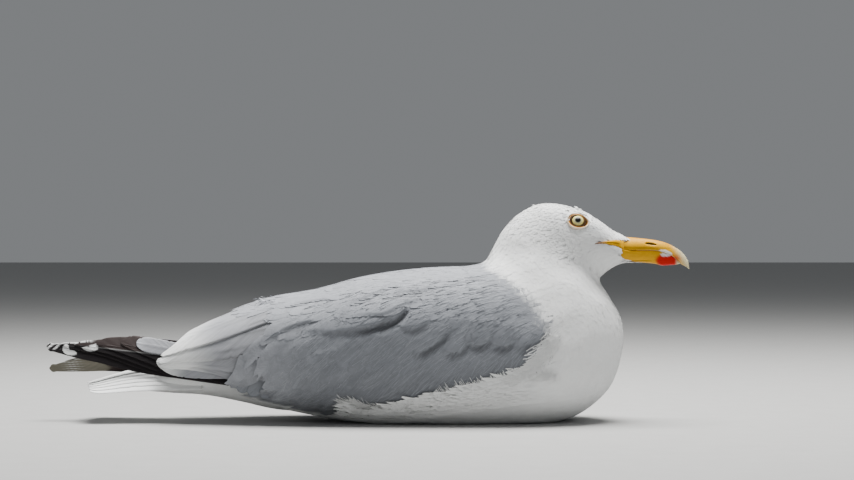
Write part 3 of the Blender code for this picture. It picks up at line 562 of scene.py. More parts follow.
class Finish:
    """A node material in the making: each call adds a node and returns its first output."""

    def __init__(self, name, roughness, **sockets):
        """A principled shader with its roughness and any other sockets, named with _ for a space."""
        self.made = bpy.data.materials.new(name)
        self.made.use_nodes = True
        self.tree = self.made.node_tree
        self.shader = self.tree.nodes["Principled BSDF"]
        self.shader.inputs["Roughness"].default_value = roughness
        for title, value in sockets.items():
            self.shader.inputs[title.replace("_", " ")].default_value = value

    def node(self, kind, out=0, settings=None, **inputs):
        """Adds a node; each input is linked or set, by its name or by its place as i0, i1 and so on."""
        added = self.tree.nodes.new("ShaderNode" + kind)
        for key, value in (settings or {}).items():
            setattr(added, key, value)
        for key, value in inputs.items():
            place = int(key[1:]) if key[0] == "i" and key[1:].isdigit() else key.replace("_", " ")
            socket = added.inputs[place]
            if isinstance(value, bpy.types.NodeSocket):
                self.tree.links.new(value, socket)
            else:
                socket.default_value = value
        return added.outputs[out]

    def math(self, operation, a, b=0.0, c=0.0):
        """The result of one sum on a, b and c."""
        return self.node("Math", settings={"operation": operation}, i0=a, i1=b, i2=c)

    def mix(self, kind, share, a, b):
        """Two colours blended by share."""
        settings = {"data_type": "RGBA", "blend_type": kind}
        return self.node("Mix", 2, settings, i0=share, i6=a, i7=b)

    def ramp(self, value, low, high, to_low=0.0, to_high=1.0):
        """The value carried in a straight line from low and high to to_low and to_high."""
        return self.node("MapRange", i0=value, i1=low, i2=high, i3=to_low, i4=to_high)

    def noise(self, vector, scale, detail=2.0, rough=0.5):
        """Smooth noise read at the vector."""
        return self.node("TexNoise", Vector=vector, Scale=scale, Detail=detail, Roughness=rough)

    def place(self):
        """Where the surface is, in Object coordinates."""
        return self.node("TexCoord", OBJECT_OUTPUT)

    def give(self, socket, value):
        """Links a value to a socket of the shader."""
        self.tree.links.new(value, self.shader.inputs[socket])

    def tinted(self, shade):
        """The base colour: the piece's Tint times a grey shade."""
        tint = self.node("Attribute", settings={"attribute_name": "Tint"})
        grey = self.node("CombineXYZ", X=shade, Y=shade, Z=shade)
        self.give("Base Color", self.mix("MULTIPLY", 1.0, tint, grey))

    def bump(self, height, strength, distance):
        """Bump from a height, as the shader's normal."""
        self.give("Normal", self.node("Bump", Strength=strength, Distance=distance, Height=height))


def feather_finish(name, roughness, barb, contrast, **sockets):
    """Feather vane: colour from Tint, with barbs as fine streaks that run out from the shaft to the edge at
    a slant. Their noise is read at (along - across * slant) and drawn out along that line."""
    f = Finish(name, roughness, **sockets)
    place = f.node("UVMap", settings={"uv_map": "Vane"})
    parts = f.tree.nodes.new("ShaderNodeSeparateXYZ")
    f.tree.links.new(place, parts.inputs[0])
    across, along = parts.outputs[0], parts.outputs[1]
    off_shaft = f.math("ABSOLUTE", across)
    line = f.math("SUBTRACT", along, f.math("MULTIPLY", off_shaft, 1.5))
    spot = f.place()
    jitter = f.noise(spot, 60, 1.0)
    drawn, turned = f.math("MULTIPLY", across, 0.12), f.math("MULTIPLY", jitter, 0.3)
    where = f.node("CombineXYZ", X=line, Y=drawn, Z=turned)
    fine = f.noise(where, barb, 3.0, 0.65)
    broad = f.noise(where, barb * 0.22, 2.0, 0.5)
    streak = f.math("ADD", f.math("MULTIPLY", fine, 0.6), f.math("MULTIPLY", broad, 0.4))
    f.tinted(f.ramp(streak, 0.3, 0.7, 1 - contrast, 1 + contrast * 0.6))
    f.bump(streak, 0.35, 0.0004)
    return f.made


def skin_finish():
    """Down-covered skin: the Tint colour, mottled by noise in Object coordinates, with fine bump."""
    f = Finish("down skin", 0.85)
    place = f.place()
    mottle = f.noise(place, 260, 4.0, 0.6)
    f.tinted(f.ramp(mottle, 0.3, 0.7, 0.88, 1.03))
    f.bump(mottle, 0.4, 0.0006)
    return f.made


def horn_finish():
    """Bill horn: the Tint colour with long growth streaks along the bill, worn dull in places."""
    f = Finish("bill horn", 0.45, Specular_IOR_Level=0.1, Subsurface_Weight=0.03)
    f.shader.inputs["Subsurface Radius"].default_value = (0.004, 0.002, 0.001)
    place = f.place()
    drawn = f.node("Mapping", Vector=place, Scale=(60, 260, 420))
    streak = f.noise(drawn, 1.0, 4.0, 0.6)
    blotch = f.noise(place, 180, 3.0, 0.6)
    both = f.math("ADD", f.math("MULTIPLY", streak, 0.6), f.math("MULTIPLY", blotch, 0.4))
    f.tinted(f.ramp(both, 0.32, 0.68, 0.84, 1.08))
    f.give("Roughness", f.ramp(blotch, 0.3, 0.7, 0.28, 0.5))
    f.bump(streak, 0.18, 0.0004)
    return f.made


def scaly_finish():
    """Leg and web skin: flesh pink with small scales, from distances in a cell pattern."""
    f = Finish("scaly legs", 0.5)
    place = f.place()
    cells = f.node("TexVoronoi", Vector=place, Scale=420.0, settings={"feature": "DISTANCE_TO_EDGE"})
    edge = f.ramp(cells, 0.0, 0.12)
    mottle = f.noise(place, 90, 3.0)
    flesh = f.mix("MIX", mottle, (0.62, 0.36, 0.33, 1), (0.74, 0.50, 0.45, 1))
    f.give("Base Color", f.mix("MIX", edge, (0.42, 0.24, 0.22, 1), flesh))
    f.bump(edge, 0.4, 0.0003)
    return f.made


WHITE = np.array([0.83, 0.84, 0.835])
GREY = np.array([0.205, 0.218, 0.243])
PALE_GREY = np.array([0.36, 0.37, 0.40])
OLIVE = np.array([0.15, 0.14, 0.11])
BLACK = np.array([0.011, 0.009, 0.010])
BROWN = np.array([0.036, 0.026, 0.025])

WHITE_FINISH = feather_finish("white plumage", 0.82, 9.0, 0.05, Sheen_Weight=0.15)
GREY_FINISH = feather_finish("grey plumage", 0.78, 8.0, 0.13, Sheen_Weight=0.15)
WING_FINISH = feather_finish("grey flight feather", 0.72, 7.0, 0.26, Sheen_Weight=0.1)
FLIGHT_FINISH = feather_finish("flight feather", 0.65, 10.0, 0.25, Specular_IOR_Level=0.15)
SKIN_FINISH = skin_finish()
HORN_FINISH = horn_finish()
LEG_FINISH = scaly_finish()


def painted(under, over, share):
    """One colour laid over another: under plus share times what over differs from it by."""
    return under + (over - under) * np.asarray(share)[..., None]


def marking(t, phi, jitter=0.0):
    """The colour of skin and coat at a place: white, and grey over back and wings. The grey is paler on the
    back as painted light and paler at the rear. It is darker towards the wing's lower edge and in the
    hollows under the clefts as painted shade.
    """
    # Paler towards the back line: painted light on the top of the grey.
    back = ease(0.62, 0.9, np.abs(phi) / PI) * 0.35
    rear = ease(4.4, 2.2, t) * 0.5
    grey = painted(GREY, PALE_GREY, np.maximum(back, rear))
    point = BODY.read(t, phi)[0] / MM
    # Darker towards the wing's lower edge: painted shade on the lower coverts.
    dark = 0.34 * ease(1.15, 0.15, wing_share(t, phi)) * ease(2.2, 4.4, t)
    # Darker in the hollows under the clefts: painted shade under the lobes of the shoulder.
    hollow = clefts(t, phi, point[..., 0], point[..., 2])[1]
    grey = grey * ((1 - dark) * (1 - 0.55 * (hollow / 2.2).clip(0, 1)))[..., None]
    return painted(WHITE, grey, greyness(t + jitter, phi))


# ---- coat ------------------------------------------------------------------------------------------------


def step_along(along, around, heading):
    """The steps in t and phi that carry a point by heading, a vector in the surface."""
    aa = (along * along).sum(-1)
    ab = (along * around).sum(-1)
    bb = (around * around).sum(-1)
    ha = (heading * along).sum(-1)
    hb = (heading * around).sum(-1)
    whole = np.maximum(aa * bb - ab * ab, 1e-14)
    return (ha * bb - hb * ab) / whole, (hb * aa - ha * ab) / whole


def round_eye(point, heading, normal):
    """Turns the heading of feathers near the eye so that they part in front of it, as water round a post:
    the heading less its mirror in the line from the eye, by the square of ring radius over distance."""
    away = point - np.array([EYE_AT[0], 0, EYE_AT[1]]) * MM
    away[..., 1] = 0
    away = away - normal * (away * normal).sum(-1, keepdims=True)
    distance = np.maximum(np.linalg.norm(away, axis=-1, keepdims=True), 5 * MM)
    r = away / distance
    share = np.minimum((8.2 * MM / distance) ** 2, 0.95) * ease(4, 10, np.abs(point[..., 1:2]) / MM)
    mirror = 2 * (heading * r).sum(-1, keepdims=True) * r - heading
    return unit(heading - mirror * share)


def vanes(name, surface, roots, length, width, slant=0.0, depth=2.0, lift=0.0, size=(5, 3), seed=1,
          tint=None, finish=None, slot="white_plumage", replaces=(), soft=0.6, ragged=0.15, camber=0.25,
          roll=0.15, root=0.5, point=0.3, wander=0.08, eye=False, shade=0.05, keep=None, aim=None,
          from_tips=False, jitter=0.1):
    """Many feathers in one mesh. Each starts at its root and walks down the lie: back along t, turned by
    slant towards the belly, in equal steps on the surface. Where aim is given the lie is level instead,
    dipping by aim in degrees. A feather from its tip is walked forwards. Across, it takes steps at right
    angles to that, as wide as the root share grown to 1. Each column ends short of the full length by point
    times a power of its width share, give or take a ragged share, which rounds and frays the tip. The height
    runs from -depth at the root to lift at the tip, less camber times the square of the width share, with
    a tilt of up to roll across and a shift of up to jitter. Folded feathers are left out, and so are those
    keep refuses. The shown normals are a mix of the feather's own and, by the soft share, the surface's.
    Lengths are in mm."""
    rng = np.random.default_rng(seed)
    rows, columns = size
    t, phi = roots
    n = len(t)
    length = np.broadcast_to(length, n) * rng.uniform(0.86, 1.14, n)
    width = np.broadcast_to(width, n) * rng.uniform(0.9, 1.1, n)
    slant = np.broadcast_to(slant, n) + rng.normal(0, wander, n)
    s = np.linspace(0, 1, rows)
    u = np.linspace(-1, 1, columns)
    half = (root + (1 - root) * np.sqrt(np.minimum(s / 0.5, 1))) * (1 - 0.3 * ease(0.6, 1.0, s))
    centre = []
    for _ in range(rows):
        point_at, along, around, normal = surface.read(t, phi)
        back = unit(-along)
        down = unit(np.cross(normal, back)) * np.sign(phi + 1e-9)[:, None]
        heading = back * np.cos(slant)[:, None] + down * np.sin(slant)[:, None]
        if aim is not None:
            fall = np.radians(aim(t, phi, point_at[..., 0] / MM) if callable(aim) else aim)
            level = np.stack([-np.cos(fall) + 0 * t, 0 * t, -np.sin(fall) + 0 * t], -1)
            level = unit(level - normal * (level * normal).sum(-1, keepdims=True))
            turned = np.cross(normal, level)
            heading = level * np.cos(slant)[:, None] + turned * np.sin(slant)[:, None]
        if eye:
            heading = round_eye(point_at, heading, normal)
        aside = np.cross(normal, heading)
        centre.append((t, phi, step_along(along, around, aside * MM)))
        step = (length / (rows - 1) * MM)[:, None] * (-1 if from_tips else 1)
        dt, dp = step_along(along, around, heading * step)
        t, phi = t + dt, phi + dp
    if from_tips:
        centre = centre[::-1]
    ct = np.stack([c[0] for c in centre], 1)
    cp = np.stack([c[1] for c in centre], 1)
    at = np.stack([c[2][0] for c in centre], 1)
    ap = np.stack([c[2][1] for c in centre], 1)
    across = u[None, None, :] * half[None, :, None] * (width / 2)[:, None, None]
    vt = ct[..., None] + at[..., None] * across
    vp = cp[..., None] + ap[..., None] * across
    fray = rng.uniform(-1, 1, (n, 1, columns)) * ragged - point * np.abs(u) ** 2.2
    fray = fray * s[None, :, None] ** 1.5
    rate_t, rate_p = np.gradient(ct, 1 / (rows - 1), axis=1), np.gradient(cp, 1 / (rows - 1), axis=1)
    vt, vp = vt + rate_t[..., None] * fray, vp + rate_p[..., None] * fray
    points, _, _, normal = surface.read(vt, vp)
    rise = -np.broadcast_to(depth, n)[:, None] * (1 - s) ** 1.1 + np.broadcast_to(lift, n)[:, None] * s**2
    height = rise[..., None] - camber * u[None, None, :] ** 2 * s[None, :, None]
    height = height + rng.normal(0, roll, (n, 1, 1)) * u[None, None, :] * s[None, :, None]
    height = height + rng.uniform(-jitter, jitter, (n, 1, 1))
    points = drawn_in(points + normal * (height * MM)[..., None], COAT_SPAN, SPAN_SHARE)
    points = points.clip(np.array(CAD_BOX[0]) + (0, 0, 0.15 * MM), np.array(CAD_BOX[1]))
    if tint is None:
        tint = marking
    colour = tint(vt, vp, rng.normal(0, 0.16, (n, 1, 1)) + 0 * vt)
    colour = colour * (1 + rng.normal(0, shade, (n, 1, 1, 1)))
    own = grid_normals(points)
    facing = (own * normal).sum(-1)
    good = (facing * np.sign(np.median(facing))).min((1, 2)) > 0.15
    if keep is not None:
        good = good & keep(points)
    points, normal, colour, across, own = points[good], normal[good], colour[good], across[good], own[good]
    length, t0, phi0 = length[good], ct[good, 0], cp[good, 0]
    n = len(points)
    own = own * np.sign(np.median(facing))
    shown = unit(own * (1 - soft) + normal * soft)
    along_mm = s[None, :, None] * length[:, None, None] + 0 * across
    vane = np.stack([across / 10, along_mm / 10 + rng.uniform(0, 30, (n, 1, 1))], -1)
    return put_mesh(
        name, points, sheet_faces(rows, columns, n)[:, ::-1], colour.clip(0, 0.95), finish or WHITE_FINISH,
        replaces, vane, bake_map(t0, phi0, s, u), shown,
    )


def bake_map(t, phi, s, u):
    """Each feather as a patch 0.003 across, at its root's place on the surface laid out flat."""
    def share(v):
        """The values carried in a straight line to the range from 0.01 to 0.985."""
        return 0.01 + 0.975 * (v - v.min()) / max(np.ptp(v), 1e-6)
    a = share(t)[:, None, None] + 0.003 * s[None, :, None] + 0 * u
    b = share(phi)[:, None, None] + 0.0015 * (u[None, None, :] + 1) + 0 * s[None, :, None]
    return np.stack([a, b], -1)


def bill_gap(x, z):
    """True where the bill's horn shows between the feathers, in side view: over the gape stripe, the side
    of the upper bill and the lower bill in front of its feather tongue."""
    over = z < np.interp(x, (183, 196, 210, 217.5, 217.6, 226), (145.8, 147.6, 147.9, 147.2, 160, 160))
    under = z > np.interp(x, (183, 196, 203.4, 207.5, 208, 226), (144.6, 144.8, 141.8, 140.2, 130.6, 129.6))
    lower = (x > 203.6) & (z < 137.6) & (z > np.interp(x, (203.6, 212, 226), (135.6, 131.8, 130.2)))
    return (x > 183) & ((over & under) | lower | ((x > 209.5) & (z > 150.3 - 0.52 * (x - 210.5))))


def off_eye_and_bill(points):
    """Feathers that keep clear of the eye's ring and of the bill, judged by their middle line."""
    line = points[:, :, points.shape[2] // 2] / MM
    x, z = line[..., 0], line[..., 2]
    near = ((x - EYE_AT[0] - 0.6) / 8.6) ** 2 + ((z - EYE_AT[1]) / 6.2) ** 2 < 1
    return ~(near.any(1) | bill_gap(x, z).any(1))


def find(x, z):
    """t and phi of the places on the right side that show at x, z in side view: the nearest corner of a
    coarse table, mended by nine steps of Newton's method."""
    x, z = np.ravel(x), np.ravel(z)
    coarse = (slice(None, None, 11), slice(190, 352, 6))
    corners = BODY.table[coarse].reshape(-1, 12) / MM
    place = (np.abs(corners[:, 0] - x[:, None]) + np.abs(corners[:, 2] - z[:, None])).argmin(1)
    t, phi = BODY.t[coarse].ravel()[place], BODY.phi[coarse].ravel()[place]
    for _ in range(9):
        point, along, around, _ = BODY.read(t, phi)
        miss_x, miss_z = x * MM - point[:, 0], z * MM - point[:, 2]
        whole = along[:, 0] * around[:, 2] - along[:, 2] * around[:, 0]
        whole = np.where(np.abs(whole) < 1e-8, 1e-8, whole)
        t = t + ((miss_x * around[:, 2] - miss_z * around[:, 0]) / whole).clip(-0.1, 0.1)
        phi = phi + ((miss_z * along[:, 0] - miss_x * along[:, 2]) / whole).clip(-0.05, 0.05)
    return t, phi


def along_line(line_x, line_z, count):
    """Places spaced evenly along a line given by its points in side view, as t and phi."""
    line_x, line_z = np.asarray(line_x, float), np.asarray(line_z, float)
    run = np.concatenate([[0], np.cumsum(np.hypot(np.diff(line_x), np.diff(line_z)))])
    at = np.linspace(0, run[-1], count)
    return find(np.interp(at, run, line_x), np.interp(at, run, line_z))


def pale(t, phi, jitter):
    """The marking, lightened as a painted highlight: for stray barbs that catch the light."""
    return (marking(t, phi, jitter) * 1.25 + 0.03).clip(0, 0.9)


def head_colour(t, phi, jitter):
    """White, with grey streaks behind and above the eye, and a faint grey on the lores that is painted shade.
    """
    point = BODY.read(t, phi)[0] / MM
    x, z = point[..., 0], point[..., 2]
    behind = hump(x, 156, 8) * hump(z, 167, 4) + hump(x, 161, 4) * hump(z, 158, 3)
    streak = 0.34 * ease(0.02, 0.2, jitter) * behind
    # The grey on the lores is painted shade in the hollow in front of the eye.
    lores = 0.13 * hump(x, 189, 8) * hump(z, 155, 6) + 0.2 * hump(x, 182, 4) * hump(z, 157.5, 2.5)
    shade = (streak + lores)[..., None] * np.array([1.0, 0.97, 0.9])
    return marking(t, phi, 0 * jitter) * (1 - shade)


def plain_white(t, phi, jitter):
    """White whatever the place."""
    return WHITE + 0 * t[..., None]


def veil(t, phi, jitter):
    """Thin white barbs, dulled by the grey under them behind the shoulder."""
    return plain_white(t, phi, jitter) * (1 - 0.24 * ease(7.9, 7.0, t))[..., None]


WHITE_COAT = dict(finish=WHITE_FINISH, slot="white_plumage")
GREY_COAT = dict(finish=GREY_FINISH, slot="grey_plumage", aim=sweep)


def build_white_coat():
    """The small white feathers of head, neck, breast and belly, and the tufts that stand up on the crown."""
    roots = BODY.scatter(8600, lambda t, p: (t > 15.0), 11, lambda t, p: 1 + 2.2 * ease(17.5, 20.5, t))
    size = np.interp(roots[0], (15, 17, 19, 20.5, 22), (9.0, 7.0, 5.2, 4.0, 3.0))
    vanes("head_feathers", BODY, roots, size, size * 0.5, depth=size * 0.1, size=(5, 3), seed=21, soft=0.78,
          eye=True, keep=off_eye_and_bill, camber=0.08, roll=0.04, shade=0.014, ragged=0.12, jitter=0.04,
          tint=head_colour, **WHITE_COAT)
    rng = np.random.default_rng(41)
    tufts = ("crown_tuft", 143, 4, 176.2, 22, 2.6), ("crown_ruffle", 171, 7, 172.6, 40, 1.5)
    for title, x, spread, z, count, lift in tufts:
        t, phi = find(rng.uniform(x - spread, x + spread, count), z - rng.uniform(0, 2.5, count))
        roots = t, phi * rng.choice([1, 1, -1], count)
        vanes(title, BODY, roots, rng.uniform(5, 9, count), 1.1, depth=0.2, lift=lift, size=(6, 3),
              seed=42, soft=0.7, aim=-8, wander=0.25, camber=0.0, **WHITE_COAT)

    for title, low, high, count in (("neck", 12.0, 15.7, 3900), ("breast", 9.0, 12.1, 5600)):
        roots = BODY.scatter(count, lambda t, p: (t > low) & (t < high) & (greyness(t, p, 0.3) < 0.9), 12)
        size = np.interp(roots[0], (9, 11, 13, 15.5), (16, 15, 13, 10.5))
        vanes(f"{title}_feathers", BODY, roots, size, size * 0.52, depth=0.45, size=(5, 3), seed=22,
              soft=0.86, shade=0.012, camber=0.05, roll=0.02, jitter=0.02, **WHITE_COAT)

    def belly(t, phi):
        """Below the wing, from the vent to the breast."""
        return (t > 3.0) & (t <= 9.6) & (np.abs(phi) < wing_low(t) + 0.08)

    roots = BODY.scatter(4600, belly, 13)
    vanes("belly_feathers", BODY, roots, 19, 9, depth=0.7, size=(5, 3), seed=23, soft=0.82, shade=0.015,
          camber=0.1, roll=0.03, jitter=0.03, **WHITE_COAT)


def build_back_coat():
    """The small grey feathers of the mantle, and the loose ones where it ends over the rump."""
    def mantle(t, phi):
        """Within the mantle's half angle of the back line."""
        return (t > 2.9) & (t < 9.6) & (np.abs(phi) > PI - MANTLE_HALF_ANGLE - 0.06)

    roots = BODY.scatter(1500, mantle, 14)
    vanes("mantle_feathers", BODY, roots, 32, 11, depth=0.45, size=(7, 5), seed=24,
          replaces=("mantle",), soft=0.78, shade=0.03, camber=0.08, roll=0.03, jitter=0.02, **GREY_COAT)

    rng = np.random.default_rng(44)
    count = 330
    roots = rng.uniform(2.6, 3.9, count), PI + rng.uniform(-0.5, 0.5, count)
    vanes("rump_feathers", BODY, roots, 38, 12, depth=0.6, lift=rng.uniform(-9, -2, count), size=(10, 5),
          seed=45, soft=0.6, shade=0.03, camber=0.1, roll=0.03, jitter=0.1, **GREY_COAT)


def build_wing_coat(word, side):
    """The grey feathers of one side: scapulars and coverts, the lobes of the shoulder, stray barbs, and the
    long ones that end the grey behind and below."""
    def scapular(t, phi):
        """Between the wing and the mantle, from the rear edge to the grey front."""
        a = phi * side
        inside = (a > scapular_low(t)) & (a < PI - MANTLE_HALF_ANGLE + 0.06)
        return inside & (t > rear_edge(phi) + 0.5) & (t < grey_front(t, phi) + 0.2)

    roots = BODY.scatter(3000, scapular, 15)
    vanes(f"scapular_feathers_{word}", BODY, roots, 32, 9.5, depth=0.5, size=(7, 5),
          seed=25, replaces=(f"scapulars_{word}",), soft=0.76, shade=0.035, camber=0.08, roll=0.03,
          jitter=0.02, **GREY_COAT)

    def coverts(t, phi):
        """Between the wing's lower edge and the scapulars."""
        a = phi * side
        inside = (a > wing_low(t)) & (a < scapular_low(t) + 0.1)
        return inside & (t > 3.4) & (t < grey_front(t, phi) + 0.15)

    roots = BODY.scatter(3000, coverts, 16)
    vanes(f"wing_covert_feathers_{word}", BODY, roots, 26, 8.5, depth=0.6, size=(7, 5),
          seed=26, replaces=(f"wing_coverts_{word}",), soft=0.76, shade=0.035, camber=0.08, roll=0.03,
          jitter=0.02, **GREY_COAT)

    places = []
    for line_x, line_z, stand, _ in CLEFTS:
        count = int((line_x[-1] - line_x[0]) / (3.2 if stand > 0.65 else 5)) + 3
        places.append(along_line(line_x, np.array(line_z) - 0.4, count))
    t, phi = (np.concatenate(part) for part in zip(*places))
    vanes(f"lobe_feathers_{word}", BODY, (t, phi * side), 27, 8, depth=1.3, lift=0.8, size=(14, 7),
          seed=37, soft=0.68, shade=0.03, from_tips=True, ragged=0.03, point=0.22, camber=0.5,
          roll=0.05, jitter=0.1, wander=0.1, **GREY_COAT)

    rng = np.random.default_rng(38)
    count = 80
    angle = rng.uniform(0.50, 0.97, count) * PI
    t = rear_edge(angle) + rng.uniform(0.9, 3.4, count)
    vanes(f"long_scapulars_{word}", BODY, (t, angle * side), 52, 14, depth=0.7, lift=0.3, size=(14, 9),
          seed=39, soft=0.78, shade=0.03, ragged=0.0, point=0.16, camber=0.25, roll=0.0, jitter=0.03,
          wander=0.05, finish=WING_FINISH, slot="grey_plumage", aim=sweep)
    count = 24
    t, phi = find(rng.uniform(-84, -72, count), rng.uniform(98, 101, count))
    vanes(f"bump_barbs_{word}", BODY, (t, phi * side), rng.uniform(8, 15, count), 0.9, depth=0.1,
          lift=rng.uniform(1.0, 3.2, count), size=(7, 2), seed=40, soft=0.8, aim=10, ragged=0.0,
          wander=0.12, camber=0.0, tint=pale, finish=GREY_FINISH, slot="grey_plumage")

    def strays(t, phi):
        """All the grey but its edges and the back line."""
        a = phi * side
        inside = (a > wing_low(t) + 0.1) & (a < 0.83 * PI)
        return inside & (t > rear_edge(phi) + 0.8) & (t < grey_front(t, phi))

    roots = BODY.scatter(2000, strays, 31)
    vanes(f"stray_barbs_{word}", BODY, roots, 24, 0.4, depth=0.1, lift=0.22, size=(6, 2), seed=32,
          soft=0.85, shade=0.06, ragged=0.0, camber=0.0, wander=0.14, tint=pale, **GREY_COAT)

    edge_x = (-114.4, -110, -106, -101.3, -92, -80, -66, -52, -38, -24)
    edge_z = (36.7, 30, 26, 22.5, 19.5, 17, 13.5, 10.5, 9, 10)
    t, phi = along_line(edge_x, edge_z, 30)
    long = dict(slot="grey_plumage", finish=WING_FINISH, aim=sweep, from_tips=True, soft=0.5, shade=0.05)
    vanes(f"secondary_feathers_{word}", BODY, (t, phi * side), 62, 13, depth=3.0, lift=1.4,
          size=(18, 9), seed=27, replaces=(f"secondaries_{word}",), wander=0.05, ragged=0.05,
          point=0.16, camber=0.7, **long)
    t, phi = along_line(np.array(edge_x) + 15, np.array(edge_z) + 15, 34)
    vanes(f"greater_coverts_{word}", BODY, (t, phi * side), 46, 11, depth=2.4, lift=0.9,
          size=(16, 9), seed=33, wander=0.07, ragged=0.07, point=0.18, camber=0.7, **long)


def build_flank_coat(word, side):
    """The white feathers of one flank over the wing's edge, its fringe, and the fringe of the shoulder."""
    def flank(t, phi):
        """A band under the upper edge of the white flank feathers."""
        a = phi * side
        return (t > 4.9) & (t < 10.1) & (a > flank_high(t) - 0.36) & (a < flank_high(t) - 0.04)

    roots = BODY.scatter(2300, flank, 18)
    rise = 1.5 * ease(9.9, 8.8, roots[0])
    vanes(f"flank_feathers_{word}", BODY, roots, 24, 5.2, depth=-0.4 * rise, lift=0.4 + 1.1 * rise,
          size=(7, 4), seed=28, replaces=(f"flank_{word}",), tint=plain_white, soft=0.8, ragged=0.08,
          shade=0.015, aim=-9, roll=0.04, jitter=0.05, camber=0.1, **WHITE_COAT)
    rng = np.random.default_rng(34)
    count = 3000
    low = rng.uniform(4.55, 9.9, count)
    roots = low, (flank_high(low) - rng.uniform(-0.005, 0.06, count)) * side
    reach = 4 + 13 * rng.random(count) ** 2.2
    vanes(f"flank_fringe_{word}", BODY, roots, reach, 0.4, depth=-1.4, lift=1.8, size=(5, 2), seed=35,
          tint=veil, soft=0.85, ragged=0.0, camber=0.0, shade=0.02, aim=-42, wander=0.3, **WHITE_COAT)
    border = (151, 148, 144, 138, 131, 125, 119), (75, 68, 61, 54, 47, 42, 38)
    count = 1300
    share = rng.uniform(0, 6, count)
    t, phi = find(np.interp(share, range(7), border[0]) + rng.normal(0, 2.5, count),
                  np.interp(share, range(7), border[1]) + rng.normal(0, 2.5, count))
    vanes(f"shoulder_fringe_{word}", BODY, (t, phi * side), rng.uniform(7, 17, count), 0.75, depth=0.1,
          lift=rng.uniform(0.8, 2.0, count), size=(6, 2), seed=36, tint=plain_white, soft=0.85,
          ragged=0.0, camber=0.0, shade=0.02, aim=np.interp(share, (0, 6), (52, 25)), wander=0.25,
          **WHITE_COAT)


def build_tail_coverts():
    """The small white feathers below and above the root of the tail."""
    roots = TAIL_END.scatter(3000, lambda t, p: (t < 5.6) & (np.cos(p) > -0.3), 19)
    vanes("undertail_feathers", TAIL_END, roots, 22, 8, depth=0.8, size=(5, 3), seed=29,
          replaces=("undertail_coverts",), tint=plain_white, soft=0.8, shade=0.015, camber=0.1, roll=0.03,
          jitter=0.04, **WHITE_COAT)
    roots = TAIL_END.scatter(1500, lambda t, p: (t < 4.6) & (np.cos(p) < 0.1), 20)
    vanes("uppertail_feathers", TAIL_END, roots, 26, 9, depth=0.8, size=(5, 3), seed=30,
          replaces=("uppertail_coverts",), tint=plain_white, soft=0.8, shade=0.015, camber=0.1, roll=0.03,
          jitter=0.04, **WHITE_COAT)


# ---- skin ------------------------------------------------------------------------------------------------


def build_skin():
    """One closed skin. Rings of the outline from the bill back to the loin, sunk by the depth of the coat,
    run on into sunk rings of the rump down to the tail root. It dips round the eyes and under the bill."""
    phi = np.linspace(-PI, PI, 97)[:-1][None, :]
    front = np.concatenate([np.linspace(22, 16, 110), np.linspace(15.9, 5.2, 90)])[:, None]
    points, _, _, normal = BODY.read(front + 0 * phi, phi + 0 * front)
    coat = np.interp(front, (4, 9, 11, 15.5, 18, 22), (2.6, 1.8, 1.2, 1.1, 1.1, 1.2))
    x, z = points[..., 0] / MM, points[..., 2] / MM
    ring = np.hypot((x - EYE_AT[0]) / 8.5, (z - EYE_AT[1]) / 7.0)
    dip = 6.0 * ease(0.98, 0.72, ring) * (front > 17)
    under_bill = 3.2 * bill_gap(x, z) * (np.abs(points[..., 1]) > 2 * MM)
    first = points - normal * ((coat + dip + under_bill) * MM)[..., None]
    first[..., 2] = np.maximum(first[..., 2], 1.2 * MM)
    back = np.linspace(5.85, 2.2, 30)[:, None]
    hind_points, _, _, hind_normal = TAIL_END.read(back + 0 * phi, phi + 0 * back)
    second = hind_points - hind_normal * 3.2 * MM
    rings = np.concatenate([first, second])
    middle = rings.mean(1)
    nose, tail = middle[0] + (2 * MM, 0, 0), middle[-1] - (2 * MM, 0, 0)
    rings = np.concatenate([nose + 0 * rings[:1], rings, tail + 0 * rings[:1]])
    tint = np.concatenate([marking(front + 0 * phi, phi + 0 * front), WHITE + 0 * second])
    tint = np.concatenate([tint[:1], tint, tint[-1:]])
    faces = turned_out(rings, sheet_faces(len(rings), 96, closed=True))
    flesh = ("head", "neck", "breast", "trunk", "rump")
    skin = put_mesh("skin", rings, faces, tint, SKIN_FINISH, flesh)
    weld(skin)


def weld(piece):
    """Merges the doubled points at poles and tips, and turns the faces outwards."""
    shape = bmesh.new()
    shape.from_mesh(piece.data)
    bmesh.ops.remove_doubles(shape, verts=shape.verts, dist=1e-6)
    bmesh.ops.recalc_face_normals(shape, faces=shape.faces)
    if shape.calc_volume(signed=True) < 0:
        bmesh.ops.reverse_faces(shape, faces=shape.faces)
    shape.to_mesh(piece.data)
    shape.free()


# ---- long feathers ---------------------------------------------------------------------------------------


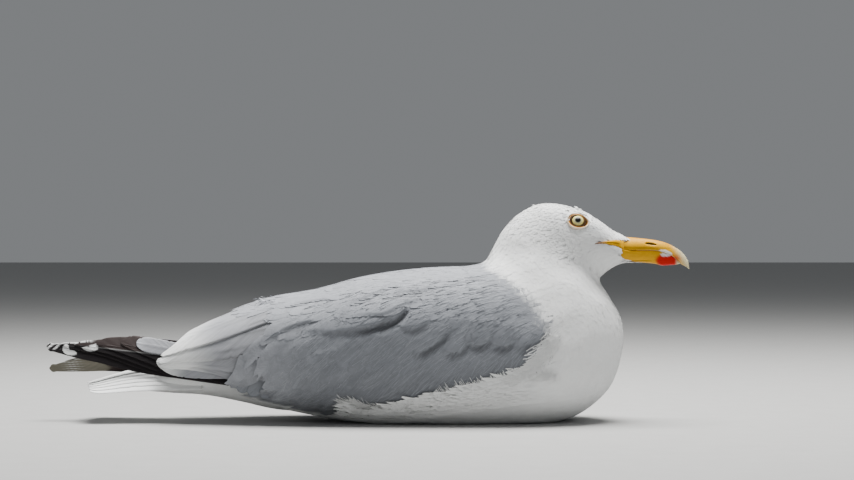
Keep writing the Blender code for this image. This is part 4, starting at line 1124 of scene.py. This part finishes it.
def long_feather(name, surface, tint, rows, columns, finish, replaces=(), thick=0.45, seed=0,
                 under=None):
    """A closed thin feather. surface(s, u, depth) gives its points for length share s and width share u;
    the shaft stands up along the middle and the vane waves a little between barbs. Its lower side is thick
    millimetres under the plain surface, and takes its colours from under where that is given."""
    s = (np.linspace(0, 1, rows)[:, None]) ** 0.85
    u = np.linspace(-1, 1, columns)[None, :]
    s, u = s + 0 * u, u + 0 * s
    rng = np.random.default_rng(seed)
    ripple = 0.07 * np.sin(s * 70 - np.abs(u) * 9 + rng.uniform(0, 6))
    ripple = ripple + 0.08 * waves(s * 60, u * 9, seed, 14)
    shaft = 0.28 * hump(u, 0.0, 0.07)
    upper = surface(s, u, (0.05 - shaft - ripple * 0.6) * MM)
    lower = surface(s, u, thick * MM + 0 * u)
    points = np.concatenate([upper.reshape(-1, 3), lower.reshape(-1, 3)])
    faces = turned_out(points, plate_faces(rows, columns))
    size = np.linalg.norm(np.diff(upper, axis=0), axis=-1).sum(0).max() / MM
    wide = np.linalg.norm(np.diff(upper, axis=1), axis=-1).sum(1).max() / MM
    vane = np.stack([u * wide / 20, s * size / 10 + seed], -1)
    colour = tint(s, u, upper)
    colours = np.concatenate([colour, (under or tint)(s, u, upper)])
    return put_mesh(name, points, faces, colours, finish, replaces, np.concatenate([vane, vane]))


def edge_wear(s, u, seed, depth=0.05, count=7, edges=(-1, 1)):
    """Small splits in the vane: wedges that cut the width share back at a few places along each edge."""
    rng = np.random.default_rng(seed)
    cut = 0 * s
    for _ in range(count):
        at, side = rng.uniform(0.45, 0.98), rng.choice(edges)
        cut = cut + depth * rng.uniform(0.5, 1.6) * (1 - np.abs(s - at) / 0.012).clip(0, 1) * (u * side > 0)
    return u * (1 - cut)


def tip_shape(s, root, rounding, full=0.35):
    """Half width of a feather as a share: root at s = 0, full after a third, rounded off at the tip."""
    start = root + (1 - root) * np.minimum(s / full, 1) ** 0.8
    tip = np.sqrt((1 - (np.maximum(s - 1 + rounding, 0) / rounding) ** 2.4).clip(0, 1))
    return start * np.maximum(tip, 0.03)


def build_tertials(word, side):
    """Tertials on the outline behind the grey feathers, pale grey with broad white ends."""
    for order, (tip_t, root_share, tip_share) in enumerate(TERTIALS):
        layer = (len(TERTIALS) - 1 - order) * TERTIAL_LAYER

        def surface(s, u, depth):
            """The plumage at t and angle, sunk by the feather's layer and by depth."""
            u = edge_wear(s, u, 40 + order, 0.07, 12)

            def angle(t, s):
                """The shaft's angle for length share s, with the width laid over the cut's radius."""
                radius = np.interp(t, (0, 1, 2, 3), (30, 36, 42, 50)) * MM
                spread = u * TERTIAL_HALF_WIDTH * tip_shape(s, 0.85, 0.45) / radius
                free = (root_share + (tip_share - root_share) * s) * PI + spread
                return free.clip(curve(*TERTIAL_FLOOR, t) * PI, curve(*TERTIAL_CAP, t) * PI)

            root_t = rear_edge(angle(np.full(u.shape, 3.0), 0 * u)) + 1.0
            t = root_t + (tip_t - root_t) * s
            point, _, _, normal = BODY.read(t, angle(t, s) * side)
            return point - normal * (layer + depth + 0.35 * MM)[..., None]

        def tint(s, u, upper):
            """Pale grey with a dark shaft and thin dark lines, partly barb splits and partly painted hairline
            shadows, turning white over the last third.
            """
            white = ease(0.62, 0.88, s + 0.06 * np.abs(u))
            # Thin dark lines: splits between barbs, and painted hairline shadows between the feathers.
            lines = ease(0.8, 1, np.sin(u * 11 + s * 5 + order * 2))
            lines = lines + ease(0.86, 1, np.sin(u * 17 - s * 6 + order))
            lines = 0.17 * lines * ease(0.9, 0.6, s)
            dark = 0.16 * hump(u, 0, 0.04) + lines + 0.22 * ease(0.9, 1, np.abs(u))
            body = PALE_GREY * (0.66 + 0.22 * ease(0.2, 0.6, s) - dark)[..., None]
            return painted(body, WHITE * (1 - 0.3 * dark)[..., None], white)

        long_feather(f"tertial_feather_{word}_{order + 1}", surface, tint, 64, 17, WING_FINISH,
                     (f"tertial_{word}_{order + 1}",), seed=50 + order)


def build_last_secondaries(word, side):
    """The hindmost secondaries hang free of the body: blades that fall backwards at a slant and come in
    towards the tail, each a step forward of the one before and under it."""
    for order, (tip_x, tip_z) in enumerate(LAST_SECONDARY_TIPS):

        def surface(s, u, depth):
            """A strip that falls 40 mm over 44 mm of length to its tip, its width square to that slant."""
            u = edge_wear(s, u, 30 + order, 0.07, 9)
            half = 7.5 * tip_shape(s, 0.8, 0.3) * u
            x = tip_x + 44 * (1 - s) + 0.67 * half
            z = tip_z + 40 * (1 - s) - 0.74 * half
            y = 40.4 - 0.5 * order + 13 * (1 - s) ** 0.7 - 0.33 * half
            return np.stack([x * MM, -side * (y * MM - depth), z * MM], -1)

        def tint(s, u, upper):
            """Grey, darker along the shaft and the edges."""
            dark = 0.18 * ease(0.75, 1, np.abs(u)) + 0.12 * hump(u, 0, 0.06)
            return GREY * (0.95 + 0.1 * s - dark)[..., None]

        long_feather(f"last_secondary_{word}_{order + 1}", surface, tint, 48, 15, WING_FINISH,
                     seed=64 + order)


def build_lower_tertial(word, side):
    """The lowest tertial, outside the primaries: it runs along its own line, and its height leans outward
    as it falls."""
    line = np.stack([LOW_TERTIAL_X, LOW_TERTIAL_Y, LOW_TERTIAL_Z], -1).astype(float)

    def surface(s, u, depth):
        """The line's point for length share s, with the width share standing up and leaning outward."""
        u = edge_wear(s, u, 47, 0.08, 12)
        x = LOW_TERTIAL_X[0] + (LOW_TERTIAL_X[-1] - LOW_TERTIAL_X[0]) * s + 0 * u
        rise = u * 7.5 * MM * tip_shape(s, 0.9, 0.3)
        at = curve(-line[:, 0], line, -x) * MM + rise[..., None] * np.array([0, -0.3, 0.95])
        at[..., 1] = at[..., 1] - depth
        return at * (1, -side, 1)

    def tint(s, u, upper):
        """Pale grey with a dark shaft and edges, turning white over the last third."""
        body = PALE_GREY * (0.95 - 0.12 * hump(u, -0.2, 0.07) - 0.1 * ease(0.7, 1, np.abs(u)))[..., None]
        return painted(body, WHITE, ease(0.62, 0.92, s))

    long_feather(f"lowest_tertial_{word}", surface, tint, 64, 15, WING_FINISH, seed=58)


def build_primaries(word, side):
    """Primaries: steep blades along the wing point's line. All share its smooth lower edge and reach up to
    their own upper edge; each tip is blunt above and drawn in along a long slant below."""
    line = np.stack([PRIMARY_LINE_X, PRIMARY_LINE_Y, RIGHT_LINE_Z if side > 0 else LEFT_LINE_Z], -1)
    up = np.array([0, -math.cos(PRIMARY_LEAN), math.sin(PRIMARY_LEAN)])
    out = np.array([0, math.sin(PRIMARY_LEAN), math.cos(PRIMARY_LEAN)])
    for order, tip_x in enumerate(PRIMARY_TIPS_X + (INNER_PRIMARY_TIP_X,)):
        inner = order == len(PRIMARY_TIPS_X)

        def surface(s, u, depth):
            """Height across the line from the shared lower edge to the feather's own upper edge, drawn in
            round its tip, and laid outward by its layer less the sag of its camber."""
            u = edge_wear(s, u, 60 + order, 0.07, 9, (1,))
            x = PRIMARY_LINE_X[0] + (tip_x - PRIMARY_LINE_X[0]) * s + 0 * u
            middle = curve(-line[:, 0], line, -x) * MM
            low = -PRIMARY_HALF_WIDTH * falling(PRIMARY_TAPER_X, PRIMARY_LOW_SHARE, x)
            low = 3.4 * MM + 0 * low if inner else low
            high = PRIMARY_HALF_WIDTH * falling(PRIMARY_TAPER_X, PRIMARY_HIGH_SHARE, x)
            high = high + min(order, 4) * PRIMARY_RISE * np.minimum(s * 2, 1)
            end = low + (high - low) * (0.5 if inner else 0.72)
            away = x - tip_x
            above = np.sqrt(1 - (1 - away / 13).clip(0, 1) ** 2.2)
            below = above if inner else (away / 84).clip(0, 1) ** 0.7
            rise = low + (high - low) * (u + 1) / 2
            if order:
                rise = end + (rise - end) * np.where(rise > end, above, below).clip(0.02, 1)
            layer = order * PRIMARY_LAYER + 1.0 * MM - depth - rise**2 / (2 * PRIMARY_CAMBER_RADIUS)
            at = middle + up * rise[..., None] + out * layer[..., None]
            return at * (1, -side, 1)

        def tint(s, u, upper):
            """Black below the shaft and brown above it, with white bars, rim and spots near the tips. The
            inner primary is pale grey."""
            x = upper[..., 0] / MM
            right_z = curve(-line[:, 0], np.array(RIGHT_LINE_Z, float), -x)
            z = upper[..., 2] / MM + right_z - curve(-line[:, 0], line[:, 2], -x)
            if inner:
                return PALE_GREY * (0.72 + 0.35 * ease(0.85, 0.98, s) - 0.15 * hump(u, -0.3, 0.06))[..., None]
            shaft_z = 55 + (-170 - x) * 0.108
            colour = painted(BLACK, BROWN, ease(-0.3, 0.8, z - shaft_z))
            shaft = hump(z, shaft_z, 0.42) * 0.3 * ease(-232, -214, x)
            slant = x * 0.75 - z * 0.9
            bars = ease(0.2, 0.6, np.sin(slant * 1.35)) * ease(-250, -254, x) * ease(58.2, 59.4, z)
            rim = ease(0.74, 0.9, u) * ease(-222, -230, x) * (order < 3)
            rim = rim * ease(-1.0, -0.6, np.sin(x * 0.83) + 0.7 * np.sin(x * 2.3 + 1) + 0.3 * np.sin(x * 5.1))
            patch = ((x + 243.2) / 5.2) ** 2 + ((z - 56.2 + 0.1 * (x + 243)) / 2.1) ** 2
            patch = np.minimum(patch, ((x + 246.9) / 2.6) ** 2 + ((z - 59.3) / 3.6) ** 2)
            leaf = np.maximum((x + 220.6) / 1.2, (-234.5 - x) / 1.2)
            leaf = np.maximum(leaf, z - 63.6 - (x + 221) * 0.26)
            leaf = np.maximum(leaf, 57.2 + 0.055 * (x + 226.5) ** 2 - z)
            dot = hump(x, -228.3, 1.1) * hump(z, 61.2, 0.8)
            mark = np.maximum(np.maximum(bars, rim), ease(1.15, 0.85, patch) * (order < 2))
            mark = np.maximum(mark, ease(0.35, -0.35, leaf) * (1 - dot) * (order < 3))
            return painted(colour, WHITE * 0.92, np.maximum(mark * 0.95, shaft))

        def under(s, u, upper):
            """The underside: brown, olive towards the tip, with white streaks across the olive."""
            x = upper[..., 0] / MM
            olive = ease(-213, -218, x + 2 * np.sin(upper[..., 2] / MM))
            streak = hump(x, -244, 6) * ease(0.3, 0.7, np.sin(u * 17 + x * 0.4)) * 0.6
            return painted(painted(BROWN, OLIVE, olive), WHITE * 0.8, streak * olive)

        if inner:
            long_feather(f"inner_primary_{word}", surface, tint, 80, 15, WING_FINISH, seed=78)
        else:
            long_feather(f"primary_feather_{word}_{10 - order}", surface, tint, 150, 27, FLIGHT_FINISH,
                         (f"primary_{word}_{10 - order}",), thick=0.3, seed=70 + order,
                         under=under)


def build_tail(word, side):
    """Tail feathers fanned on a low roof, the middle pair topmost."""
    for order in range(TAIL_PAIRS):
        layer = (order + 1 if order or side < 0 else 0) * TAIL_LAYER
        inner_edge = np.interp(order, (0, 1, TAIL_PAIRS - 1), (-7, 1, 14))
        outer_edge = np.interp(order, (0, TAIL_PAIRS - 1), (15, 37))
        reach = TAIL_X[0] + 0.9 * order

        def surface(s, u, depth):
            """A strip of the roof. Its height falls from ridge to edge by the square of y over the half
            width."""
            u = edge_wear(s, u, 90 + order, 0.05, 5)
            x = TAIL_X[-1] + (reach - TAIL_X[-1]) * s + 0 * u
            narrow = 0.62 + 0.38 * s
            middle, half = (inner_edge + outer_edge) / 2, (outer_edge - inner_edge) / 2
            y = (middle + half * tip_shape(s, 1.0, 0.14) * u) * narrow
            ridge, edge = curve(TAIL_X, TAIL_RIDGE_Z, x), curve(TAIL_X, TAIL_EDGE_Z, x)
            wide = curve(TAIL_X, TAIL_HALF_WIDTH, x)
            z = (ridge - (ridge - edge) * (y / wide) ** 2) * MM - layer - depth
            return np.stack([x * MM, -side * y * MM, z], -1)

        def tint(s, u, upper):
            """White, a little grey along the edges towards the root, as painted shade where the feathers
            overlap.
            """
            # Grey edges towards the root: painted shade where the feathers lie over one another.
            return WHITE * (1 - 0.10 * ease(0.6, 1, np.abs(u)) * ease(1.0, 0.2, s))[..., None]

        long_feather(f"tail_vane_{word}_{order + 1}", surface, tint, 60, 15, WHITE_FINISH,
                     (f"tail_feather_{word}_{order + 1}",), seed=80 + order)


# ---- bill and eyes ---------------------------------------------------------------------------------------

YELLOW = np.array([0.66, 0.335, 0.001])
ORANGE = np.array([0.64, 0.28, 0.001])
HORN_TIP = np.array([0.72, 0.66, 0.42])
RED = np.array([0.50, 0.006, 0.003])
GAPE_ROOT = np.array([0.45, 0.22, 0.10])
GAPE_END = np.array([0.20, 0.09, 0.04])
IRIS = np.array([0.66, 0.56, 0.17])
INNER_IRIS = np.array([0.40, 0.41, 0.27])
IRIS_RIM = np.array([0.07, 0.036, 0.016])
PUPIL = np.array([0.004, 0.004, 0.004])
LID_SHADOW = np.array([0.09, 0.045, 0.02])
LID_ORANGE = np.array([0.62, 0.27, 0.03])
LID_CORNER = np.array([0.07, 0.035, 0.02])
LID_EDGE = np.array([0.72, 0.66, 0.56])


def build_upper_bill():
    """The upper bill as rings round its length: across, the half width times 0.65 cosine plus 0.35 cosine
    cubed, and up, the height over the mouth line times sine to the 0.8. The nostril is a slot pressed into
    its side."""
    x = np.concatenate([263 - 3.2 * np.linspace(0, 1, 14) ** 1.6, np.linspace(259.4, 193, 130)])
    angle = np.linspace(0, PI, 41)[None, :]
    top = falling(BILL_X, CULMEN_Z, x)[:, None]
    low = falling(BILL_X, HOOK_Z, x)[:, None]
    half = falling(BILL_X, BILL_HALF_WIDTH, x)[:, None]
    low = np.where(x[:, None] < 200, 142.5 + (200 - x[:, None]) * 0.25, low)
    y = half * (np.cos(angle) ** 3 * 0.35 + np.cos(angle) * 0.65)
    z = low + (top - low) * np.sin(angle) ** 0.8
    xx = x[:, None] + 0 * y
    slot = ((xx - 231.2) / 4.9) ** 2 + ((z - 144.7 + 0.13 * (xx - 231.2)) / 0.95) ** 2
    pit = ease(1.25, 0.35, slot)
    y = y * (1 - 0.30 * pit)
    groove = hump(z, 140.6 + 0 * xx, 0.8) * ease(254, 244, xx) * ease(196, 205, xx)
    y = y * (1 - 0.05 * groove)
    low_wall = np.linspace(1, -1, 9)[None, 1:-1]
    floor_y = half * low_wall * 0.92
    rings = np.concatenate([np.stack([xx, y, z], -1), mouth_floor(x, floor_y, low + 0.5)], 1) * MM
    colour = painted(YELLOW, ORANGE, ease(0.55, 1.0, np.sin(angle) + 0 * z) * 0.8)
    colour = painted(colour, HORN_TIP, ease(249, 260, xx + 0.45 * (z - 135)))
    stripe = hump(z, low + 1.6, 0.8) * ease(203, 209, xx) * ease(240, 230, xx)
    # Nearly black in the nostril slot: painted shade inside the opening. Darker along the stripe above the
    # mouth line.
    colour = colour * ((1 - 0.93 * pit) * (1 - 0.35 * stripe))[..., None]
    colour = painted(colour, GAPE_ROOT, ease(203, 193, xx) * ease(0.75, 0.4, np.sin(angle)) * 0.6)
    # A white patch on the upper bill near the red: a painted glint of light.
    painted_glint = ease(1.2, 0.8, ((xx - 243.4) / 5.4) ** 2 + ((z - 137.9 + 0.25 * (xx - 243.4)) / 1.9) ** 2)
    blush = hump(xx, 251.8, 3.6) * hump(z, 133.2, 2.6)
    colour = painted(painted(colour, RED, blush * 0.75), WHITE, painted_glint * 0.9)
    colour = np.concatenate([colour, ORANGE * 0.5 + 0 * floor_y[..., None] * ORANGE], 1)
    put_tube("upper_bill_horn", rings, colour, ("bill_upper",))


def build_lower_bill():
    """The lower bill as rings that hang from the mouth line: the half width times cosine to the 0.75, and
    the depth times sine to the 0.8. It narrows to a blunt point behind the hook."""
    x = np.concatenate([255.5 - 3.0 * np.linspace(0, 1, 10) ** 1.6, np.linspace(252.0, 196, 90)])
    angle = np.linspace(0, PI, 41)[None, :]
    top = falling(BILL_X, HOOK_Z, x)[:, None] - 0.25
    low = falling(MANDIBLE_X, GONYS_Z, x)[:, None]
    top = np.maximum(top, low + 0.5)
    half = falling(BILL_X, BILL_HALF_WIDTH, x) * (0.9 + 0.14 * ease(218, 208, x))
    half = np.minimum(half, 0.8 + (256.0 - x) * 0.45)[:, None]
    y = half * np.sign(np.cos(angle)) * np.abs(np.cos(angle)) ** 0.75
    z = top - (top - low) * np.sin(angle) ** 0.8
    xx = x[:, None] + 0 * y
    roof_y = half * np.linspace(-1, 1, 9)[None, ::-1][:, 1:-1] * 0.92
    rings = np.concatenate([np.stack([xx, y, z], -1), mouth_floor(x, roof_y, top - 0.4)], 1) * MM
    spot = ((xx - 245.0) / 10.2) ** 2 + ((z - 131.4) / 6.0) ** 2
    colour = painted(YELLOW, RED, ease(1.3, 0.55, spot))
    colour = painted(colour, HORN_TIP * 0.9, ease(250.5, 254.5, xx))
    slit = hump(z, 130.9, 0.45) * ease(234, 228, xx) * ease(205, 212, xx)
    colour = colour * (1 - 0.6 * slit)[..., None]
    # A white patch on the lower bill over the red spot: a painted glint of light.
    fleck = ease(1.2, 0.7, ((xx - 243.2) / 4.4) ** 2 + ((z - 136.0) / 1.5) ** 2)
    colour = painted(colour, WHITE, fleck * 0.9)
    colour = np.concatenate([colour, ORANGE * 0.5 + 0 * roof_y[..., None] * ORANGE], 1)
    put_tube("lower_bill_horn", rings, colour, ("bill_lower",))


def build_gape(word, side):
    """The bare skin at the corner of the mouth: a domed strip on the plumage between an upper and a lower
    line, with the closed mouth as a dark line along its middle."""
    x = np.linspace(182.5, 209, 56)[:, None]
    v = np.linspace(0, 1, 11)[None, :]
    knots = (182.5, 190, 196, 203, 210)
    high = np.interp(x, knots, (145.3, 146.7, 147.8, 148.6, 148.8))
    low = np.interp(x, knots, (144.7, 145.2, 144.6, 142.4, 140.4))
    z = low + (high - low) * v
    t, phi = find(x + 0 * v, z)
    point, _, _, normal = BODY.read(t, phi * side)
    ends = np.sqrt(np.sin(PI * v)) * ease(182.3, 187, x) * ease(210, 200.5, x)
    height = (-0.7 + 1.6 * ends - 0.35 * hump(v, 0.42, 0.1) * ends).reshape(-1, 1)
    points = np.concatenate([point + normal * height * MM, point - normal * 1.2 * MM])
    colour = painted(YELLOW * 0.9, GAPE_END, ease(196, 187, x + 0 * v))
    mouth = hump(v, 0.42, 0.08) * ease(207, 203, x)
    colour = (colour * (1 - 0.8 * mouth)[..., None]).reshape(-1, 3)
    faces = turned_out(points, plate_faces(56, 11))
    put_mesh(f"gape_skin_{word}", points, faces, np.concatenate([colour, colour]), HORN_FINISH)


def mouth_floor(x, y, z):
    """The inner face of a bill half: a nearly flat strip from one edge to the other."""
    return np.stack([x[:, None] + 0 * y, -y, z + 0 * y], -1)


def put_tube(name, rings, colour, replaces):
    """A closed tube through rings, ended by a point at each end."""
    nose, tail = (end.mean(1, keepdims=True) + 0 * end for end in (rings[:1], rings[-1:]))
    rings = np.concatenate([nose, rings, tail])
    colour = np.concatenate([colour[:1], colour, colour[-1:]])
    faces = turned_out(rings, sheet_faces(len(rings), rings.shape[1], closed=True))
    made = put_mesh(name, rings, faces, colour, HORN_FINISH, replaces)
    weld(made)
    return made


def eye_frame(side):
    """The eyeball's centre, and its axes forward, up and outward, from the plumage at the eye's place."""
    t = np.linspace(17, 21, 161)[:, None]
    phi = np.linspace(0.2, PI - 0.2, 161)[None, :]
    points = plumage(t, phi)
    aside = np.hypot(points[..., 0] - EYE_AT[0] * MM, points[..., 2] - EYE_AT[1] * MM)
    row, column = np.unravel_index(aside.argmin(), aside.shape)
    low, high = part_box("eye_right" if side > 0 else "eye_left")
    centre = (np.array(low) + np.array(high)) / 2
    step = 0.02
    a, b = t[row, 0], phi[0, column]
    along = plumage(a + step, b) - plumage(a - step, b)
    around = plumage(a, b + step) - plumage(a, b - step)
    normal = unit(np.cross(along, around)) * (1, side, 1)
    forward = unit(np.array([1.0, 0, 0]) - normal * normal[0])
    up = np.cross(normal, forward) * -side
    if up[2] < 0:
        up = -up
    return centre, forward, up, normal


def build_eye(word, side):
    """The eyeball: a ball whose front is domed by 3.5 %, with iris and pupil painted by the distance from its
    axis. It looks a little forward of square."""
    centre, forward, up, out = eye_frame(side)
    lat = np.linspace(0, PI, 49)[:, None]
    lon = np.linspace(0, 2 * PI, 65)[:-1][None, :]
    dome = 1 + 0.035 * hump(lat, 0, 0.5)
    gaze = unit(out * (0.1, 1, 1))
    ahead_of_gaze = unit(forward - gaze * (forward * gaze).sum())
    ball = sphere_points(centre, ahead_of_gaze, up, gaze, EYE_RADIUS * dome, lat, lon)
    flat_iris = np.sin(lat) * EYE_RADIUS / MM + 0 * lon
    iris = painted(IRIS, INNER_IRIS, ease(3.6, 2.6, flat_iris))
    rays = 1 + 0.10 * np.sin(lon * 23 + 3 * np.sin(lon * 5)) * ease(2.2, 3.5, flat_iris)
    colour = painted(iris * rays[..., None], IRIS_RIM, ease(4.3, 4.75, flat_iris))
    colour = painted(colour, PUPIL, ease(2.6, 2.3, flat_iris))
    faces = turned_out(ball - centre, sheet_faces(49, 64, closed=True))
    eye = put_mesh(f"eyeball_{word}", ball, faces, colour, EYE_FINISH, (f"eye_{word}",))
    weld(eye)


def build_lids(word, side):
    """The ring of lids: an almond opening, pointed in front, carried outwards over b. Its height leaves the
    eyeball, swells by a sine and dips under the feathers."""
    centre, forward, up, out = eye_frame(side)
    a = np.linspace(0, 2 * PI, 97)[:-1][None, :]
    b = np.linspace(0, 1.35, 20)[:, None]
    ahead = np.cos(a)
    inner_x = np.where(ahead > 0, 6.4, 5.6) + 0 * a
    opening_x = inner_x * np.sign(ahead) * np.abs(ahead) ** 0.9
    opening_z = 4.9 * np.sin(a) * (1 - 0.16 * (ahead > 0) * ahead**2)
    ring_x = opening_x + (1.9 + 1.5 * (ahead > 0.6) * (ahead - 0.6)) * ahead * b * 1.6
    ring_z = opening_z + 1.5 * np.sin(a) * b * 1.6 - 0.5 * (ahead > 0) * ahead**3 * b
    radius = np.hypot(ring_x, ring_z)
    drop = (EYE_RADIUS / MM) - np.sqrt(np.maximum((EYE_RADIUS / MM) ** 2 - radius**2, 1.0))
    level = EYE_RADIUS / MM - drop
    outer_level = EYE_RADIUS / MM - 2.1
    wall = level * (1 - ease(0.15, 0.9, b)) + outer_level * ease(0.15, 0.9, b)
    height = wall + 0.9 * np.sin(PI * (b.clip(0, 1) * 0.85 + 0.15)) ** 0.7
    height = height + 0.12 * np.sin(a * 36) * np.sin(PI * b)
    height = np.where(b < 0.04, level - 0.3, height)
    height = np.where(b > 0.97, outer_level - 1.0 - 7 * (b - 0.97), height)
    at = (
        centre
        + ((ring_x - 1.4) * MM)[..., None] * forward
        + (ring_z * MM)[..., None] * up
        + (height * MM)[..., None] * out
    )
    colour = painted(LID_SHADOW, LID_ORANGE, ease(0.2, 0.5, b + 0 * a))
    colour = painted(colour, LID_CORNER, ease(0.80, 0.97, ahead) * ease(0.75, 0.2, b))
    colour = painted(colour, LID_EDGE, ease(0.5, 0.85, b + 0 * a) * 0.92)
    faces = sheet_faces(20, 96, closed=True)
    if side > 0:
        faces = faces[:, ::-1]
    put_mesh(f"orbital_ring_{word}", at, faces, colour, HORN_FINISH)


def sphere_points(centre, forward, up, out, radius, lat, lon):
    """A ball whose pole looks outwards: radius times sine and cosine of latitude and longitude."""
    flat = np.sin(lat)
    shape = (flat * np.cos(lon))[..., None] * forward + (flat * np.sin(lon))[..., None] * up
    shape = shape + (np.cos(lat) + 0 * lon)[..., None] * out
    return centre + shape * np.broadcast_to(radius, lat.shape)[..., None]


def eye_finish():
    """Wet eye: the iris colours under a clear coat, with a little fleck in the iris."""
    f = Finish("eye", 0.3, Coat_Weight=0.12, Coat_Roughness=0.03, Specular_IOR_Level=0.1)
    place = f.place()
    fleck = f.noise(place, 900, 2.0)
    f.tinted(f.ramp(fleck, 0.3, 0.7, 0.85, 1.1))
    return f.made


EYE_FINISH = eye_finish()


# ---- room ------------------------------------------------------------------------------------------------


def build_room():
    """A plain pale floor, soft light from above and the front, and the camera."""
    mesh = bpy.data.meshes.new("floor")
    corners = [(-8, -8, 0), (8, -8, 0), (8, 8, 0), (-8, 8, 0)]
    mesh.from_pydata(corners, [], [(0, 1, 2, 3)])
    f = Finish("studio floor", 0.9)
    place = f.place()
    grain = f.noise(place, 40, 3.0)
    f.give("Base Color", f.mix("MIX", grain, (0.34, 0.34, 0.335, 1), (0.38, 0.38, 0.375, 1)))
    mesh.materials.append(f.made)
    floor = bpy.data.objects.new("floor", mesh)
    bpy.context.scene.collection.objects.link(floor)

    world = bpy.data.worlds.new("studio")
    world.use_nodes = True
    world.node_tree.nodes["Background"].inputs[0].default_value = (0.80, 0.83, 0.86, 1)
    world.node_tree.nodes["Background"].inputs[1].default_value = 0.26
    bpy.context.scene.world = world

    def lamp(name, at, aim, size, power, colour):
        """A soft round light at a place, turned to its aim."""
        data = bpy.data.lights.new(name, "AREA")
        data.shape = "DISK"
        data.size = size
        data.energy = power
        data.color = colour
        made = bpy.data.objects.new(name, data)
        made.location = at
        made.rotation_euler = (Vector(aim) - Vector(at)).to_track_quat("-Z", "Y").to_euler()
        bpy.context.scene.collection.objects.link(made)

    lamp("overhead", (0.15, 0.22, 1.5), (0.0, 0, 0.1), 1.1, 92, (1.0, 0.99, 0.97))
    lamp("front fill", (0.9, -1.6, 0.9), (0.1, 0, 0.1), 1.2, 4, (1.0, 1.0, 1.0))

    view = bpy.data.cameras.new("camera")
    view.lens = 102.8
    view.sensor_width = 36
    camera = bpy.data.objects.new("camera", view)
    camera.location = (0.048, -2.0, 0.162)
    aim = Vector((0.048, 0, 0.148)) - camera.location
    camera.rotation_euler = aim.to_track_quat("-Z", "Y").to_euler()
    bpy.context.scene.collection.objects.link(camera)
    bpy.context.scene.camera = camera


build_room()
build_skin()
build_white_coat()
build_back_coat()
for word, side in SIDES:
    build_wing_coat(word, side)
    build_flank_coat(word, side)
build_tail_coverts()
for word, side in SIDES:
    build_tertials(word, side)
    build_lower_tertial(word, side)
    build_last_secondaries(word, side)
    build_primaries(word, side)
    build_tail(word, side)
    build_eye(word, side)
    build_lids(word, side)
    build_gape(word, side)
    for limb in ("tarsus", "foot"):
        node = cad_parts[f"{limb}_{word}"]
        for place in range(len(node.material_slots)):
            node.material_slots[place].material = LEG_FINISH
build_upper_bill()
build_lower_bill()
